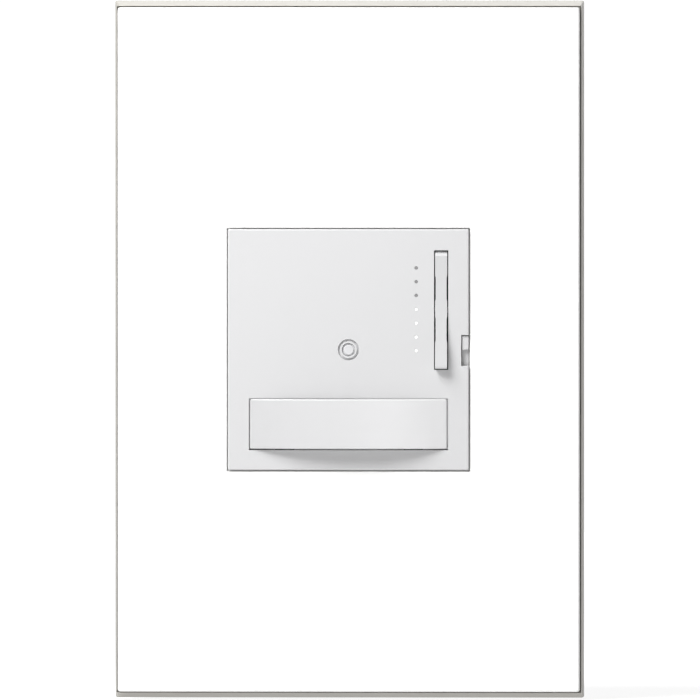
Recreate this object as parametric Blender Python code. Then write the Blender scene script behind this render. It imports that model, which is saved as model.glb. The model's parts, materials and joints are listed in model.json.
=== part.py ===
"""Wall dimmer with a motion sensor, a push pad and a screwless wall plate.

Metres, +Z up.  The origin is the centre of the plate's opening, on the wall's surface.
+X is to the right as the user sees it, and -Y points out of the wall, into the room.
"""
import math

import bmesh
import bpy
from mathutils import Matrix, Vector

MM = 0.001
GAP = 0.3 * MM          # clearance between neighbouring pieces
ROUND = 24              # sides of a round piece that can be seen
ROUND_SMALL = 16        # sides of a small or hidden round piece
OVERSHOOT = 0.5 * MM    # how far a cutter runs past the face that it opens

# ---------- wall plate and its frame ----------
PLATE_WIDTH = 86.2 * MM
PLATE_HEIGHT = 127.7 * MM
PLATE_FRONT = -8.9 * MM
PLATE_BACK = -6.2 * MM
PLATE_EDGE_RADIUS = 0.4 * MM
OPENING = 45.5 * MM
LEDGE_FRONT = -8.45 * MM        # a small step inside the opening
OPENING_BEHIND = 45.2 * MM      # the opening's width behind that step
COLLAR_WALL = 1.5 * MM          # wall behind the slab, round the opening
COLLAR_BACK = -3.0 * MM
RIB_WALL = 1.2 * MM             # rib round the plate's back, that presses into the frame
RIB_BACK = -4.2 * MM
FRAME_WIDTH = 87.6 * MM         # at the wall
FRAME_HEIGHT = 130.3 * MM
FRAME_FRONT = PLATE_BACK + GAP
FRAME_FOOT = 0.9 * MM           # upright part of the rim, next to the wall
FRAME_DRAFT_X = 0.38 * MM       # how far the rim leans in on each side
FRAME_DRAFT_Z = 0.98 * MM
FRAME_EDGE_RADIUS = 0.25 * MM
FRAME_HOLE = (79.6 * MM, 121.0 * MM)
GROOVE_WIDTH = 0.24 * MM        # shadow line in the rim, round the slab's edge
GROOVE_UNDERCUT = 0.02 * MM     # how far that line starts inside the slab's edge
GROOVE_FLOOR = -5.1 * MM
CROSS_BAR_FRONT = -3.8 * MM
CROSS_BAR_BACK = -1.5 * MM
CROSS_BAR_HEIGHT = 5.0 * MM
CROSS_BAR_HOLE = 1.9 * MM       # radius

# ---------- strap and fixings ----------
PLATE_SCREW_Z = 48.4 * MM       # 96.8 mm between the plate's screws
BOX_SCREW_Z = 41.65 * MM        # 83.3 mm between the box's screws
STRAP_FRONT = -1.2 * MM
STRAP_SIZE = (45.0 * MM, 72.0 * MM)
STRAP_CORNER = 2.0 * MM
STRAP_EAR = (32.0 * MM, 106.0 * MM)
STRAP_EAR_CORNER = 5.0 * MM
STRAP_WINDOW = (40.0 * MM, 45.2 * MM)
STRAP_HOLE = 1.8 * MM           # radius, for the plate's and the ground screws
STRAP_SMALL_HOLE = 1.6 * MM     # radius, for the housing's screws
BOX_SLOT = (4.2 * MM, 8.0 * MM)
HOUSING_SCREW = (16.0 * MM, 28.8 * MM)
GROUND_SCREW = (-11.5 * MM, -38.5 * MM)
SLOT_WIDTH = 1.0 * MM           # driver slot in a screw's head
SLOT_DEPTH = 0.7 * MM
BOX_SCREW = (3.4 * MM, 1.6 * MM, 1.7 * MM, 22.0 * MM)    # head radius and height, shank radius, tip
PLATE_SCREW = (3.3 * MM, 1.6 * MM, 1.5 * MM, 3.0 * MM)
GROUND_SCREW_SIZE = (3.2 * MM, 2.0 * MM, 1.5 * MM, 6.0 * MM)
HOUSING_SCREW_SIZE = (2.2 * MM, 1.4 * MM, 1.2 * MM, 8.0 * MM)

# ---------- control module ----------
MODULE = 44.4 * MM
MODULE_WALL = 1.2 * MM
MODULE_BACK = -1.5 * MM
DECK_FRONT = -6.2 * MM
DECK_BACK = -5.0 * MM
PAD = 45.0 * MM
PAD_FRONT = -9.2 * MM
PAD_BACK = -7.4 * MM
PAD_CHAMFER = 0.4 * MM
PAD_HINGE = Vector((0.0, -7.6 * MM, 21.8 * MM))
PAD_SWITCH_Z = 6.0 * MM
SPRING_PLACE = (16.5 * MM, -20.0 * MM)
HOOK_TOP_X = (9.5 * MM, 12.5 * MM)      # the pad's hooks, on the right; the left ones mirror them
HOOK_BOTTOM_X = (4.8 * MM, 7.2 * MM)
HOOK_TOP_Z = (18.9 * MM, 19.6 * MM)
HOOK_BOTTOM_Z = (-20.7 * MM, -20.0 * MM)
HOOK_GAP = 0.4 * MM
BARB_Y = (-4.6 * MM, -4.0 * MM)
BARB_REACH = 0.7 * MM

RING_HOLE = 1.95 * MM           # radii of the status light, from the outside in
RING_SHOULDER = 1.85 * MM
RING_FACE = 1.6 * MM
RING_BORE = 1.235 * MM
PLUG_SHOULDER = 1.135 * MM
PLUG_FACE = 0.935 * MM
SHOULDER_FRONT = PAD_FRONT + 0.34 * MM

LENS_WIDTH = 36.8 * MM
LENS_HEIGHT = 9.4 * MM
LENS_Z = -13.86 * MM
LENS_BOW = 2.8 * MM             # how far the lens's middle stands in front of its ends
LENS_WALL = 0.9 * MM
LENS_BACK = -6.5 * MM
LENS_GAP = 0.2 * MM
LENS_LEG_X = (10.5 * MM, 13.5 * MM)
LENS_LEG_TIP = -4.4 * MM
SHROUD_SIZE = (34.2 * MM, 7.0 * MM)

BAR_X = 17.3 * MM
BAR_WIDTH = 2.25 * MM
BAR_TOP = 18.35 * MM
BAR_BOTTOM = -3.55 * MM
BAR_GAP = 0.2 * MM
BAR_FACE_RADIUS = 75.0 * MM     # the hollow face that the finger rocks
BAR_FACE_LOW_Z = 12.5 * MM      # where that face comes closest to the pad
BAR_PIVOT = Vector((BAR_X, -4.1 * MM, 7.4 * MM))
BAR_PIVOT_HOLE = 0.7 * MM
BAR_SWITCH_REACH = 6.5 * MM     # pivot to each switch

DOT_X = 12.65 * MM
DOT_TOP_Z = 15.27 * MM
DOT_PITCH = 2.577 * MM
DOT_COUNT = 7
DOT_RADIUS = 0.3 * MM
DOT_GAP = 0.1 * MM

TAB_X = (21.3 * MM, 22.4 * MM)
TAB_FRONT = PAD_FRONT + 0.3 * MM
TAB_Z = (0.0, 2.56 * MM)
TAB_NOTCH_Z = (-3.0 * MM, 2.76 * MM)
TAB_GAP = 0.2 * MM
AIR_GAP_TRAVEL = 2.6 * MM
SKIRT_FRONT = -8.1 * MM         # closes the notch below the tab, and slides down behind the pad
SKIRT_LOW_Z = -3.5 * MM
SKIRT_POCKET_FRONT = -8.75 * MM

BOARD_FRONT = -2.7 * MM
BOARD_BACK = -1.5 * MM
BOARD = 40.8 * MM
BOARD_NOTCH = (18.1 * MM, -11.0 * MM, -5.7 * MM)    # for the slider's leg: X, low and high Z
SWITCH_SIZE = 3.6 * MM
SWITCH_FRONT = -4.2 * MM
SWITCH_BORE = 1.0 * MM
PLUNGER_RADIUS = 0.7 * MM
PLUNGER_BACK = -3.75 * MM
PLUNGER_FRONT = -4.9 * MM

# ---------- rear housing ----------
HOUSING_FRONT = GAP
HOUSING_WIDTH = 43.0 * MM
HOUSING_HEIGHT = 66.0 * MM
HOUSING_STEP = 10.8 * MM        # where the housing gets narrower, to clear the terminals
HOUSING_NARROW = 39.0 * MM
HOUSING_BACK = 33.0 * MM
HOUSING_WALL = 1.6 * MM
POWER_BOARD = (39.0 * MM, 51.2 * MM)
POWER_BOARD_FRONT = 7.3 * MM
POWER_BOARD_BACK = 8.9 * MM
TERMINAL_Y = 20.0 * MM
TERMINALS = {                   # side of the housing, and height
    "line": (1, 12.0 * MM),
    "load": (1, -12.0 * MM),
    "traveller": (-1, 0.0),
}

FINISHES = {                    # colour, roughness, metallic
    "plate_white": ((0.90, 0.90, 0.89), 0.30, 0.0),
    "frame_grey": ((0.62, 0.60, 0.55), 0.45, 0.0),
    "pad_white": ((0.82, 0.82, 0.83), 0.40, 0.0),
    "lens_milk": ((0.85, 0.85, 0.86), 0.35, 0.0),
    "light_pipe": ((0.90, 0.92, 0.93), 0.15, 0.0),
    "steel": ((0.62, 0.62, 0.60), 0.35, 1.0),
    "brass": ((0.80, 0.62, 0.30), 0.30, 1.0),
    "copper": ((0.80, 0.45, 0.28), 0.35, 1.0),
    "ground_green": ((0.08, 0.42, 0.18), 0.40, 1.0),
    "housing_black": ((0.05, 0.05, 0.055), 0.50, 0.0),
    "deck_grey": ((0.75, 0.75, 0.75), 0.50, 0.0),
    "board_green": ((0.04, 0.26, 0.12), 0.40, 0.0),
    "chip_black": ((0.03, 0.03, 0.03), 0.45, 0.0),
    "led_yellow": ((0.90, 0.85, 0.55), 0.30, 0.0),
    "capacitor_red": ((0.55, 0.12, 0.08), 0.45, 0.0),
    "capacitor_blue": ((0.06, 0.10, 0.30), 0.35, 0.0),
}

for old in list(bpy.data.objects):
    bpy.data.objects.remove(old, do_unlink=True)

materials = {}
axes = {}


def finish(name):
    """Return the material of that name, made on its first use."""
    if name not in materials:
        colour, roughness, metallic = FINISHES[name]
        material = bpy.data.materials.new(name)
        material.use_nodes = True
        shader = material.node_tree.nodes["Principled BSDF"]
        shader.inputs["Base Color"].default_value = (*colour, 1.0)
        shader.inputs["Roughness"].default_value = roughness
        shader.inputs["Metallic"].default_value = metallic
        materials[name] = material
    return materials[name]


def joint_axis(name, place):
    """Add an empty that stands on a joint's axis, for a moving body's pieces."""
    empty = bpy.data.objects.new(name, None)
    empty.location = place
    empty.empty_display_size = 5 * MM
    bpy.context.collection.objects.link(empty)
    axes[name] = empty


def piece(name, shape, finish_name, axis=None):
    """Turn a bmesh in world coordinates into an object, parented to a joint's axis."""
    bmesh.ops.recalc_face_normals(shape, faces=shape.faces)
    mesh = bpy.data.meshes.new(name)
    shape.to_mesh(mesh)
    shape.free()
    mesh.shade_smooth()
    mesh.set_sharp_from_angle(angle=math.radians(35))
    obj = bpy.data.objects.new(name, mesh)
    bpy.context.collection.objects.link(obj)
    obj.data.materials.append(finish(finish_name))
    if axis:
        mesh.transform(Matrix.Translation(-axes[axis].location))
        obj.parent = axes[axis]
    return obj


def combine(obj, operation, shapes):
    """Add or take away each bmesh, with a Boolean modifier and a hidden helper object."""
    for shape in shapes:
        helper = piece(f"{obj.name}_{operation.lower()}", shape, "steel")
        helper.hide_render = True
        helper.display_type = "WIRE"
        modifier = obj.modifiers.new(helper.name, "BOOLEAN")
        modifier.operation = operation
        modifier.object = helper


def cut(obj, *shapes):
    combine(obj, "DIFFERENCE", shapes)


def join(obj, *shapes):
    combine(obj, "UNION", shapes)


def span(middle, size):
    return (middle - size / 2, middle + size / 2)


def block(x, y, z):
    """Return a box, from a low and a high value along each axis."""
    shape = bmesh.new()
    bmesh.ops.create_cube(shape, size=1.0)
    bmesh.ops.scale(shape, vec=(x[1] - x[0], y[1] - y[0], z[1] - z[0]), verts=shape.verts)
    bmesh.ops.translate(shape, vec=[sum(pair) / 2 for pair in (x, y, z)], verts=shape.verts)
    return shape


def bevel(shape, radius, chosen, segments=2):
    """Round or chamfer the edges that the test chooses."""
    edges = [edge for edge in shape.edges if chosen(edge)]
    bmesh.ops.bevel(shape, geom=edges, offset=radius, segments=segments, profile=0.5,
                    affect="EDGES", clamp_overlap=True)
    return shape


def along(axis):
    """Choose the edges that run along one axis, 0 to 2 for X to Z."""
    def test(edge):
        run = edge.verts[1].co - edge.verts[0].co
        return abs(run[axis]) > 0.99 * run.length
    return test


def at(axis, value):
    """Choose the edges that lie wholly at one coordinate."""
    def test(edge):
        return all(abs(vert.co[axis] - value) < 0.001 * MM for vert in edge.verts)
    return test


def rounded_block(x, y, z, radius, axis=1, segments=2):
    return bevel(block(x, y, z), radius, along(axis), segments)


def turned(profile, middle, axis="Y", sides=ROUND_SMALL):
    """Spin (radius, position) points round an axis through a point.

    Positions are world coordinates along that axis.  The profile starts and ends on the
    axis for a solid piece, and comes back to its first point for a ring.
    """
    along_axis = {"X": 0, "Y": 1, "Z": 2}[axis]
    outward = {"X": 2, "Y": 0, "Z": 0}[axis]
    shape = bmesh.new()
    verts = []
    for radius, position in profile:
        place = Vector(middle)
        place[along_axis] = position
        place[outward] += radius
        verts.append(shape.verts.new(place))
    edges = [shape.edges.new(pair) for pair in zip(verts, verts[1:])]
    direction = Vector((0.0, 0.0, 0.0))
    direction[along_axis] = 1.0
    bmesh.ops.spin(shape, geom=verts + edges, cent=middle, axis=direction,
                   angle=math.tau, steps=sides, use_merge=False)
    bmesh.ops.remove_doubles(shape, verts=shape.verts, dist=0.001 * MM)
    return shape


def rod(radius, y, x, z, axis="Y", sides=ROUND_SMALL):
    """Return a plain cylinder; y holds its two ends along its axis."""
    middle = (x, 0.0, z) if axis == "Y" else (0.0, x, z)
    return turned([(0.0, y[0]), (radius, y[0]), (radius, y[1]), (0.0, y[1])],
                  middle, axis, sides)


def tube(outer, inner, y, x, z, axis="Y", sides=ROUND_SMALL):
    """Return a cylinder with a hole through it."""
    middle = (x, 0.0, z) if axis == "Y" else (0.0, x, z)
    return turned([(inner, y[0]), (outer, y[0]), (outer, y[1]), (inner, y[1]), (inner, y[0])],
                  middle, axis, sides)


def prism(outline, low, high, axis):
    """Extrude a closed outline along an axis.

    The outline's points hold the two other coordinates, in X, Y, Z order.
    """
    shape = bmesh.new()
    verts = []
    for point in outline:
        place = list(point)
        place.insert(axis, low)
        verts.append(shape.verts.new(place))
    face = shape.faces.new(verts)
    extruded = bmesh.ops.extrude_face_region(shape, geom=[face])["geom"]
    push = Vector((0.0, 0.0, 0.0))
    push[axis] = high - low
    bmesh.ops.translate(shape, vec=push,
                        verts=[item for item in extruded if isinstance(item, bmesh.types.BMVert)])
    return shape


def arc(middle, radius, start, end, count):
    """Return points along an arc, with angles in radians."""
    step = (end - start) / count
    return [(middle[0] + radius * math.cos(start + step * i),
             middle[1] + radius * math.sin(start + step * i)) for i in range(count + 1)]


def slotted_hole(width, length, y, z):
    """Return a cutter for a hole that is longer along X, with round ends."""
    half = (length - width) / 2
    right = arc((half, z), width / 2, -math.pi / 2, math.pi / 2, 6)
    left = arc((-half, z), width / 2, math.pi / 2, 1.5 * math.pi, 6)
    return prism(right + left, y[0], y[1], 1)


def screw(name, finish_name, x, z, seat, size, sides=ROUND_SMALL):
    """Make a slotted machine screw along Y, whose head's underside lies at the seat.

    size is (head's radius, head's height, shank's radius, where the tip ends).
    """
    head_radius, head_height, shank_radius, tip = size
    head_back = seat
    head_front = seat - head_height
    dome = 0.35 * head_height
    point = 0.6 * MM
    profile = [(0.0, head_front), (0.55 * head_radius, head_front + 0.15 * dome),
               (head_radius, head_front + dome), (head_radius, head_back),
               (shank_radius, head_back), (shank_radius, tip - point),
               (shank_radius - point, tip), (0.0, tip)]
    obj = piece(name, turned(profile, (x, 0.0, z), "Y", sides), finish_name)
    cut(obj, block(span(x, 3 * head_radius), (head_front - OVERSHOOT, head_front + SLOT_DEPTH),
                   span(z, SLOT_WIDTH)))
    return obj


# ---------- wall plate ----------
def wall_plate():
    slab = rounded_block(span(0, PLATE_WIDTH), (PLATE_FRONT, PLATE_BACK), span(0, PLATE_HEIGHT),
                         PLATE_EDGE_RADIUS)
    bevel(slab, PLATE_EDGE_RADIUS, at(1, PLATE_FRONT), 3)
    plate = piece("wall_plate", slab, "plate_white")
    root = PLATE_BACK - OVERSHOOT
    collar = OPENING + 2 * COLLAR_WALL
    join(plate, block(span(0, collar), (root, COLLAR_BACK), span(0, collar)))
    outer = [size - 2 * GAP for size in FRAME_HOLE]
    inner = [size - 2 * RIB_WALL for size in outer]
    for side in (-1, 1):
        x = sorted((side * inner[0] / 2, side * outer[0] / 2))
        z = sorted((side * inner[1] / 2, side * outer[1] / 2))
        join(plate, block(x, (root, RIB_BACK), span(0, outer[1])))
        join(plate, block(span(0, outer[0]), (root, RIB_BACK), z))
    for width, y in ((OPENING, (PLATE_FRONT - OVERSHOOT, LEDGE_FRONT)),
                     (OPENING_BEHIND, (LEDGE_FRONT - OVERSHOOT, COLLAR_BACK + OVERSHOOT))):
        cut(plate, block(span(0, width), y, span(0, width)))


def rim_loop(shape, width, height, y):
    corners = [(width / 2, -height / 2), (width / 2, height / 2),
               (-width / 2, height / 2), (-width / 2, -height / 2)]
    return [shape.verts.new((x, y, z)) for x, z in corners]


def plate_frame():
    """A leaning rim as a lofted block, opened in the middle and crossed by two bars."""
    shape = bmesh.new()
    lean = (FRAME_WIDTH - 2 * FRAME_DRAFT_X, FRAME_HEIGHT - 2 * FRAME_DRAFT_Z)
    loops = [rim_loop(shape, FRAME_WIDTH, FRAME_HEIGHT, 0.0),
             rim_loop(shape, FRAME_WIDTH, FRAME_HEIGHT, -FRAME_FOOT),
             rim_loop(shape, lean[0], lean[1], FRAME_FRONT)]
    shape.faces.new(loops[0])
    shape.faces.new(reversed(loops[-1]))
    for near, far in zip(loops, loops[1:]):
        for i in range(4):
            j = (i + 1) % 4
            shape.faces.new((near[i], near[j], far[j], far[i]))
    bevel(shape, FRAME_EDGE_RADIUS,
          lambda edge: abs(edge.verts[0].co.y - edge.verts[1].co.y) > 0.1 * MM)
    frame = piece("plate_frame", shape, "frame_grey")
    cut(frame, block(span(0, FRAME_HOLE[0]), (FRAME_FRONT - OVERSHOOT, OVERSHOOT),
                     span(0, FRAME_HOLE[1])))
    groove_y = (FRAME_FRONT - OVERSHOOT, GROOVE_FLOOR)
    near_x, near_z = PLATE_WIDTH / 2 - GROOVE_UNDERCUT, PLATE_HEIGHT / 2 - GROOVE_UNDERCUT
    far_x, far_z = near_x + GROOVE_WIDTH, near_z + GROOVE_WIDTH
    for side in (-1, 1):
        cut(frame, block(sorted((side * near_x, side * far_x)), groove_y, span(0, 2 * far_z)))
        cut(frame, block(span(0, 2 * far_x), groove_y, sorted((side * near_z, side * far_z))))
        z = side * PLATE_SCREW_Z
        reach = FRAME_HOLE[0] + 2 * OVERSHOOT
        join(frame, block(span(0, reach), (CROSS_BAR_FRONT, CROSS_BAR_BACK),
                          span(z, CROSS_BAR_HEIGHT)))
        through = (CROSS_BAR_FRONT - OVERSHOOT, CROSS_BAR_BACK + OVERSHOOT)
        cut(frame, rod(CROSS_BAR_HOLE, through, 0.0, z))


# ---------- strap and fixings ----------
def mounting_strap():
    def outline(size, radius):
        return rounded_block(span(0, size[0]), (STRAP_FRONT, 0.0), span(0, size[1]), radius, 1, 4)

    strap = piece("mounting_strap", outline(STRAP_SIZE, STRAP_CORNER), "steel")
    join(strap, outline(STRAP_EAR, STRAP_EAR_CORNER))
    through = (STRAP_FRONT - OVERSHOOT, OVERSHOOT)
    cut(strap, block(span(0, STRAP_WINDOW[0]), through, span(0, STRAP_WINDOW[1])))
    for side in (-1, 1):
        cut(strap, rod(STRAP_HOLE, through, 0.0, side * PLATE_SCREW_Z))
        cut(strap, slotted_hole(*BOX_SLOT, through, side * BOX_SCREW_Z))
        for other in (-1, 1):
            cut(strap, rod(STRAP_SMALL_HOLE, through, side * HOUSING_SCREW[0],
                           other * HOUSING_SCREW[1]))
    cut(strap, rod(STRAP_HOLE, through, *GROUND_SCREW))


def fixings():
    seat = STRAP_FRONT - GAP
    for place, side in (("top", 1), ("bottom", -1)):
        screw(f"box_screw_{place}", "steel", 0.0, side * BOX_SCREW_Z, seat, BOX_SCREW)
        screw(f"plate_screw_{place}", "steel", 0.0, side * PLATE_SCREW_Z,
              CROSS_BAR_FRONT - GAP, PLATE_SCREW)
    screw("ground_screw", "ground_green", *GROUND_SCREW, seat, GROUND_SCREW_SIZE)
    corners = [(1, 1), (-1, 1), (-1, -1), (1, -1)]
    for number, (side, level) in enumerate(corners, 1):
        screw(f"housing_screw_{number}", "steel", side * HOUSING_SCREW[0],
              level * HOUSING_SCREW[1], seat, HOUSING_SCREW_SIZE, 12)


# ---------- module frame ----------
def both_sides(x):
    """Return a span of X and its mirror image."""
    return [x, (-x[1], -x[0])]


def hook(x, root, barb, z, reach):
    """Return a straight leg along Y, with a barb that reaches out past its second side."""
    outline = [(root, z[0]), (barb[1], z[0]), (barb[1], z[1] + 0.5 * reach),
               (barb[0], z[1] + reach), (barb[0], z[1]), (root, z[1])]
    return prism(outline, x[0], x[1], 0)


def module_frame():
    outside = rounded_block(span(0, MODULE), (DECK_FRONT, MODULE_BACK), span(0, MODULE), 0.6 * MM)
    frame = piece("module_frame", outside, "deck_grey")
    inside = MODULE - 2 * MODULE_WALL
    cut(frame, block(span(0, inside), (DECK_BACK, MODULE_BACK + OVERSHOOT), span(0, inside)))
    through = (DECK_FRONT - OVERSHOOT, DECK_BACK + OVERSHOOT)
    # the bar, its pivot lugs and the level dots
    bar_hole, lug_wall, lug_reach = 3.4 * MM, 0.8 * MM, 2.4 * MM
    cut(frame, block(span(BAR_X, bar_hole), through,
                     (BAR_BOTTOM - 0.35 * MM, BAR_TOP + 0.15 * MM)))
    for side in (-1, 1):
        x = span(BAR_X + side * lug_reach, lug_wall)
        join(frame, block(x, (DECK_BACK - GAP, -3.2 * MM), span(BAR_PIVOT.z, 2.2 * MM)))
    pin_hole = 2 * (lug_reach + lug_wall)
    cut(frame, rod(BAR_PIVOT_HOLE, span(BAR_X, pin_hole), BAR_PIVOT.y, BAR_PIVOT.z, "X"))
    dots_low = DOT_TOP_Z - (DOT_COUNT - 1) * DOT_PITCH
    dots_room = 1.2 * MM
    cut(frame, block(span(DOT_X, 2.1 * MM), through, (dots_low - dots_room, DOT_TOP_Z + dots_room)))
    # the status light, the pad's switch, the motion sensor and the pad's springs
    status_hole, stem_hole, sensor_hole, spring_hole = 2.2 * MM, 1.5 * MM, 4.45 * MM, 1.2 * MM
    cut(frame, rod(status_hole, through, 0.0, 0.0), rod(stem_hole, through, 0.0, PAD_SWITCH_Z))
    cut(frame, rod(sensor_hole, through, 0.0, LENS_Z, "Y", ROUND))
    for side in (-1, 1):
        cut(frame, rod(spring_hole, through, side * SPRING_PLACE[0], SPRING_PLACE[1]))
    # slots for the pad's hooks and the lens's legs
    leg = LENS_WALL + 2 * GAP
    for x in both_sides((HOOK_TOP_X[0] - HOOK_GAP, HOOK_TOP_X[1] + HOOK_GAP)):
        cut(frame, block(x, through, (HOOK_TOP_Z[0] - 0.3 * MM, HOOK_TOP_Z[1] + HOOK_GAP)))
    for x in both_sides((HOOK_BOTTOM_X[0] - HOOK_GAP, HOOK_BOTTOM_X[1] + HOOK_GAP)):
        cut(frame, block(x, through, (HOOK_BOTTOM_Z[0] - 0.25 * MM, HOOK_BOTTOM_Z[1] + HOOK_GAP)))
    for x in both_sides((LENS_LEG_X[0] - GAP, LENS_LEG_X[1] + GAP)):
        for side in (-1, 1):
            z = LENS_Z + side * (LENS_HEIGHT - LENS_WALL) / 2
            cut(frame, block(x, through, span(z, leg)))
    # the slider's way through the right wall
    slider = (TAB_X[0] - 0.4 * MM, MODULE / 2 + OVERSHOOT)
    cut(frame, block(slider, (DECK_FRONT - OVERSHOOT, MODULE_BACK + OVERSHOOT),
                     (-11.0 * MM, 2.85 * MM)))
    # pegs that the board rests on
    peg = 1.0 * MM
    for x, z in ((-18.5, 18.5), (-18.5, -18.5), (18.0, -16.5), (6.0, 19.3)):
        join(frame, rod(peg, (DECK_BACK - GAP, BOARD_FRONT - GAP), x * MM, z * MM, "Y", 12))
    # legs that snap behind the strap's window
    for x in both_sides((8.5 * MM, 11.5 * MM)):
        for side in (-1, 1):
            near, far = side * 21.1 * MM, side * 22.1 * MM
            join(frame, hook(x, MODULE_BACK - OVERSHOOT, (GAP, 1.2 * MM), (near, far),
                             side * 1.3 * MM))


# ---------- push pad and what rides on it ----------
def push_pad():
    body = rounded_block(span(0, PAD), (PAD_FRONT, PAD_BACK), span(0, PAD), 0.3 * MM)
    bevel(body, PAD_CHAMFER, at(1, PAD_FRONT), 2)
    pad = piece("push_pad", body, "pad_white", "pad_hinge")
    for x in both_sides(HOOK_TOP_X):
        join(pad, hook(x, PAD_BACK - GAP, BARB_Y, HOOK_TOP_Z, BARB_REACH))
    for x in both_sides(HOOK_BOTTOM_X):
        join(pad, hook(x, PAD_BACK - GAP, BARB_Y, HOOK_BOTTOM_Z, BARB_REACH))
    stem, stem_tip = 1.0 * MM, PLUNGER_FRONT - GAP
    join(pad, rod(stem, (PAD_BACK - GAP, stem_tip), 0.0, PAD_SWITCH_Z, "Y", 12))
    through = (PAD_FRONT - OVERSHOOT, PAD_BACK + OVERSHOOT)
    lens = block(span(0, LENS_WIDTH + 2 * LENS_GAP), through,
                 span(LENS_Z, LENS_HEIGHT + 2 * LENS_GAP))
    bar = block(span(BAR_X, BAR_WIDTH + 2 * BAR_GAP), through,
                (BAR_BOTTOM - BAR_GAP, BAR_TOP + BAR_GAP))
    edge = (TAB_X[0] - TAB_GAP, PAD / 2 + OVERSHOOT)
    notch = block(edge, through, TAB_NOTCH_Z)
    pocket = block(edge, (SKIRT_POCKET_FRONT, PAD_BACK + OVERSHOOT),
                   (SKIRT_LOW_Z - AIR_GAP_TRAVEL - GAP, TAB_NOTCH_Z[0] + OVERSHOOT))
    cut(pad, lens, bar, notch, pocket, rod(RING_HOLE, through, 0.0, 0.0, "Y", ROUND))
    for number in range(DOT_COUNT):
        z = DOT_TOP_Z - number * DOT_PITCH
        cut(pad, rod(DOT_RADIUS + DOT_GAP, through, DOT_X, z, "Y", 12))


def status_light():
    """A bezel and a clear plug, each with a shoulder just behind the pad's surface."""
    flange, flange_wall = 2.4 * MM, 0.4 * MM
    flange_front = PAD_BACK + GAP
    flange_back = flange_front + flange_wall
    bezel = [(RING_BORE, PAD_FRONT), (RING_FACE, PAD_FRONT), (RING_FACE, SHOULDER_FRONT),
             (RING_SHOULDER, SHOULDER_FRONT), (RING_SHOULDER, flange_front),
             (flange, flange_front), (flange, flange_back), (RING_BORE, flange_back),
             (RING_BORE, PAD_FRONT)]
    piece("status_bezel", turned(bezel, (0, 0, 0), "Y", ROUND), "pad_white", "pad_hinge")
    plug_flange = 1.8 * MM
    plug_front = flange_back + GAP
    plug = [(0.0, PAD_FRONT), (PLUG_FACE, PAD_FRONT), (PLUG_FACE, SHOULDER_FRONT),
            (PLUG_SHOULDER, SHOULDER_FRONT), (PLUG_SHOULDER, plug_front),
            (plug_flange, plug_front), (plug_flange, plug_front + flange_wall),
            (0.0, plug_front + flange_wall)]
    piece("status_lens", turned(plug, (0, 0, 0), "Y", ROUND), "light_pipe", "pad_hinge")


def light_guide():
    dots_low = DOT_TOP_Z - (DOT_COUNT - 1) * DOT_PITCH
    front = PAD_BACK + GAP
    spine = rounded_block(span(DOT_X, 1.2 * MM), (front, front + 1.7 * MM),
                          (dots_low - 0.7 * MM, DOT_TOP_Z + 0.7 * MM), 0.3 * MM)
    guide = piece("light_guide", spine, "light_pipe", "pad_hinge")
    for number in range(DOT_COUNT):
        z = DOT_TOP_Z - number * DOT_PITCH
        join(guide, rod(DOT_RADIUS, (PAD_FRONT, front + GAP), DOT_X, z, "Y", 12))


def pad_spring(name, x, z):
    """A compression spring, as a wire swept along a helix."""
    turns = 5
    per_turn = 12
    wire = 0.15 * MM
    radius = 0.75 * MM
    low, high = PAD_BACK + GAP + wire, BOARD_FRONT - GAP - wire
    curve = bpy.data.curves.new(name, "CURVE")
    curve.dimensions = "3D"
    curve.bevel_depth = wire
    curve.bevel_resolution = 1
    curve.use_fill_caps = True
    spline = curve.splines.new("POLY")
    count = turns * per_turn
    spline.points.add(count)
    for i, point in enumerate(spline.points):
        angle = math.tau * i / per_turn
        point.co = (x + radius * math.cos(angle), low + (high - low) * i / count,
                    z + radius * math.sin(angle), 1.0)
    curve.materials.append(finish("steel"))
    bpy.context.collection.objects.link(bpy.data.objects.new(name, curve))


# ---------- motion sensor ----------
def lens_outline(half_width, front, back, bow):
    """Outline in X and Y: a bowed front between two straight sides."""
    radius = (half_width ** 2 + bow ** 2) / (2 * bow)
    centre = (0.0, front - bow + radius)
    reach = math.asin(half_width / radius)
    face = arc(centre, radius, -math.pi / 2 - reach, -math.pi / 2 + reach, 20)
    return face + [(half_width, back), (-half_width, back)]


def sensor_lens():
    half = LENS_WIDTH / 2
    z = span(LENS_Z, LENS_HEIGHT)
    outside = prism(lens_outline(half, PAD_FRONT, LENS_BACK, LENS_BOW), z[0], z[1], 2)
    front = PAD_FRONT + 0.1 * MM
    bevel(outside, 0.3 * MM,
          lambda edge: all(v.co.y < front for v in edge.verts) and not along(2)(edge))
    lens = piece("sensor_lens", outside, "lens_milk")
    inner_half = half - LENS_WALL
    inside = lens_outline(inner_half, PAD_FRONT + LENS_WALL, LENS_BACK + OVERSHOOT,
                          LENS_BOW * (inner_half / half) ** 2)
    cut(lens, prism(inside, z[0] + LENS_WALL, z[1] - LENS_WALL, 2))
    for x in both_sides(LENS_LEG_X):
        for leg in ((z[0], z[0] + LENS_WALL), (z[1] - LENS_WALL, z[1])):
            join(lens, block(x, (LENS_BACK - OVERSHOOT, LENS_LEG_TIP), leg))


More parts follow.
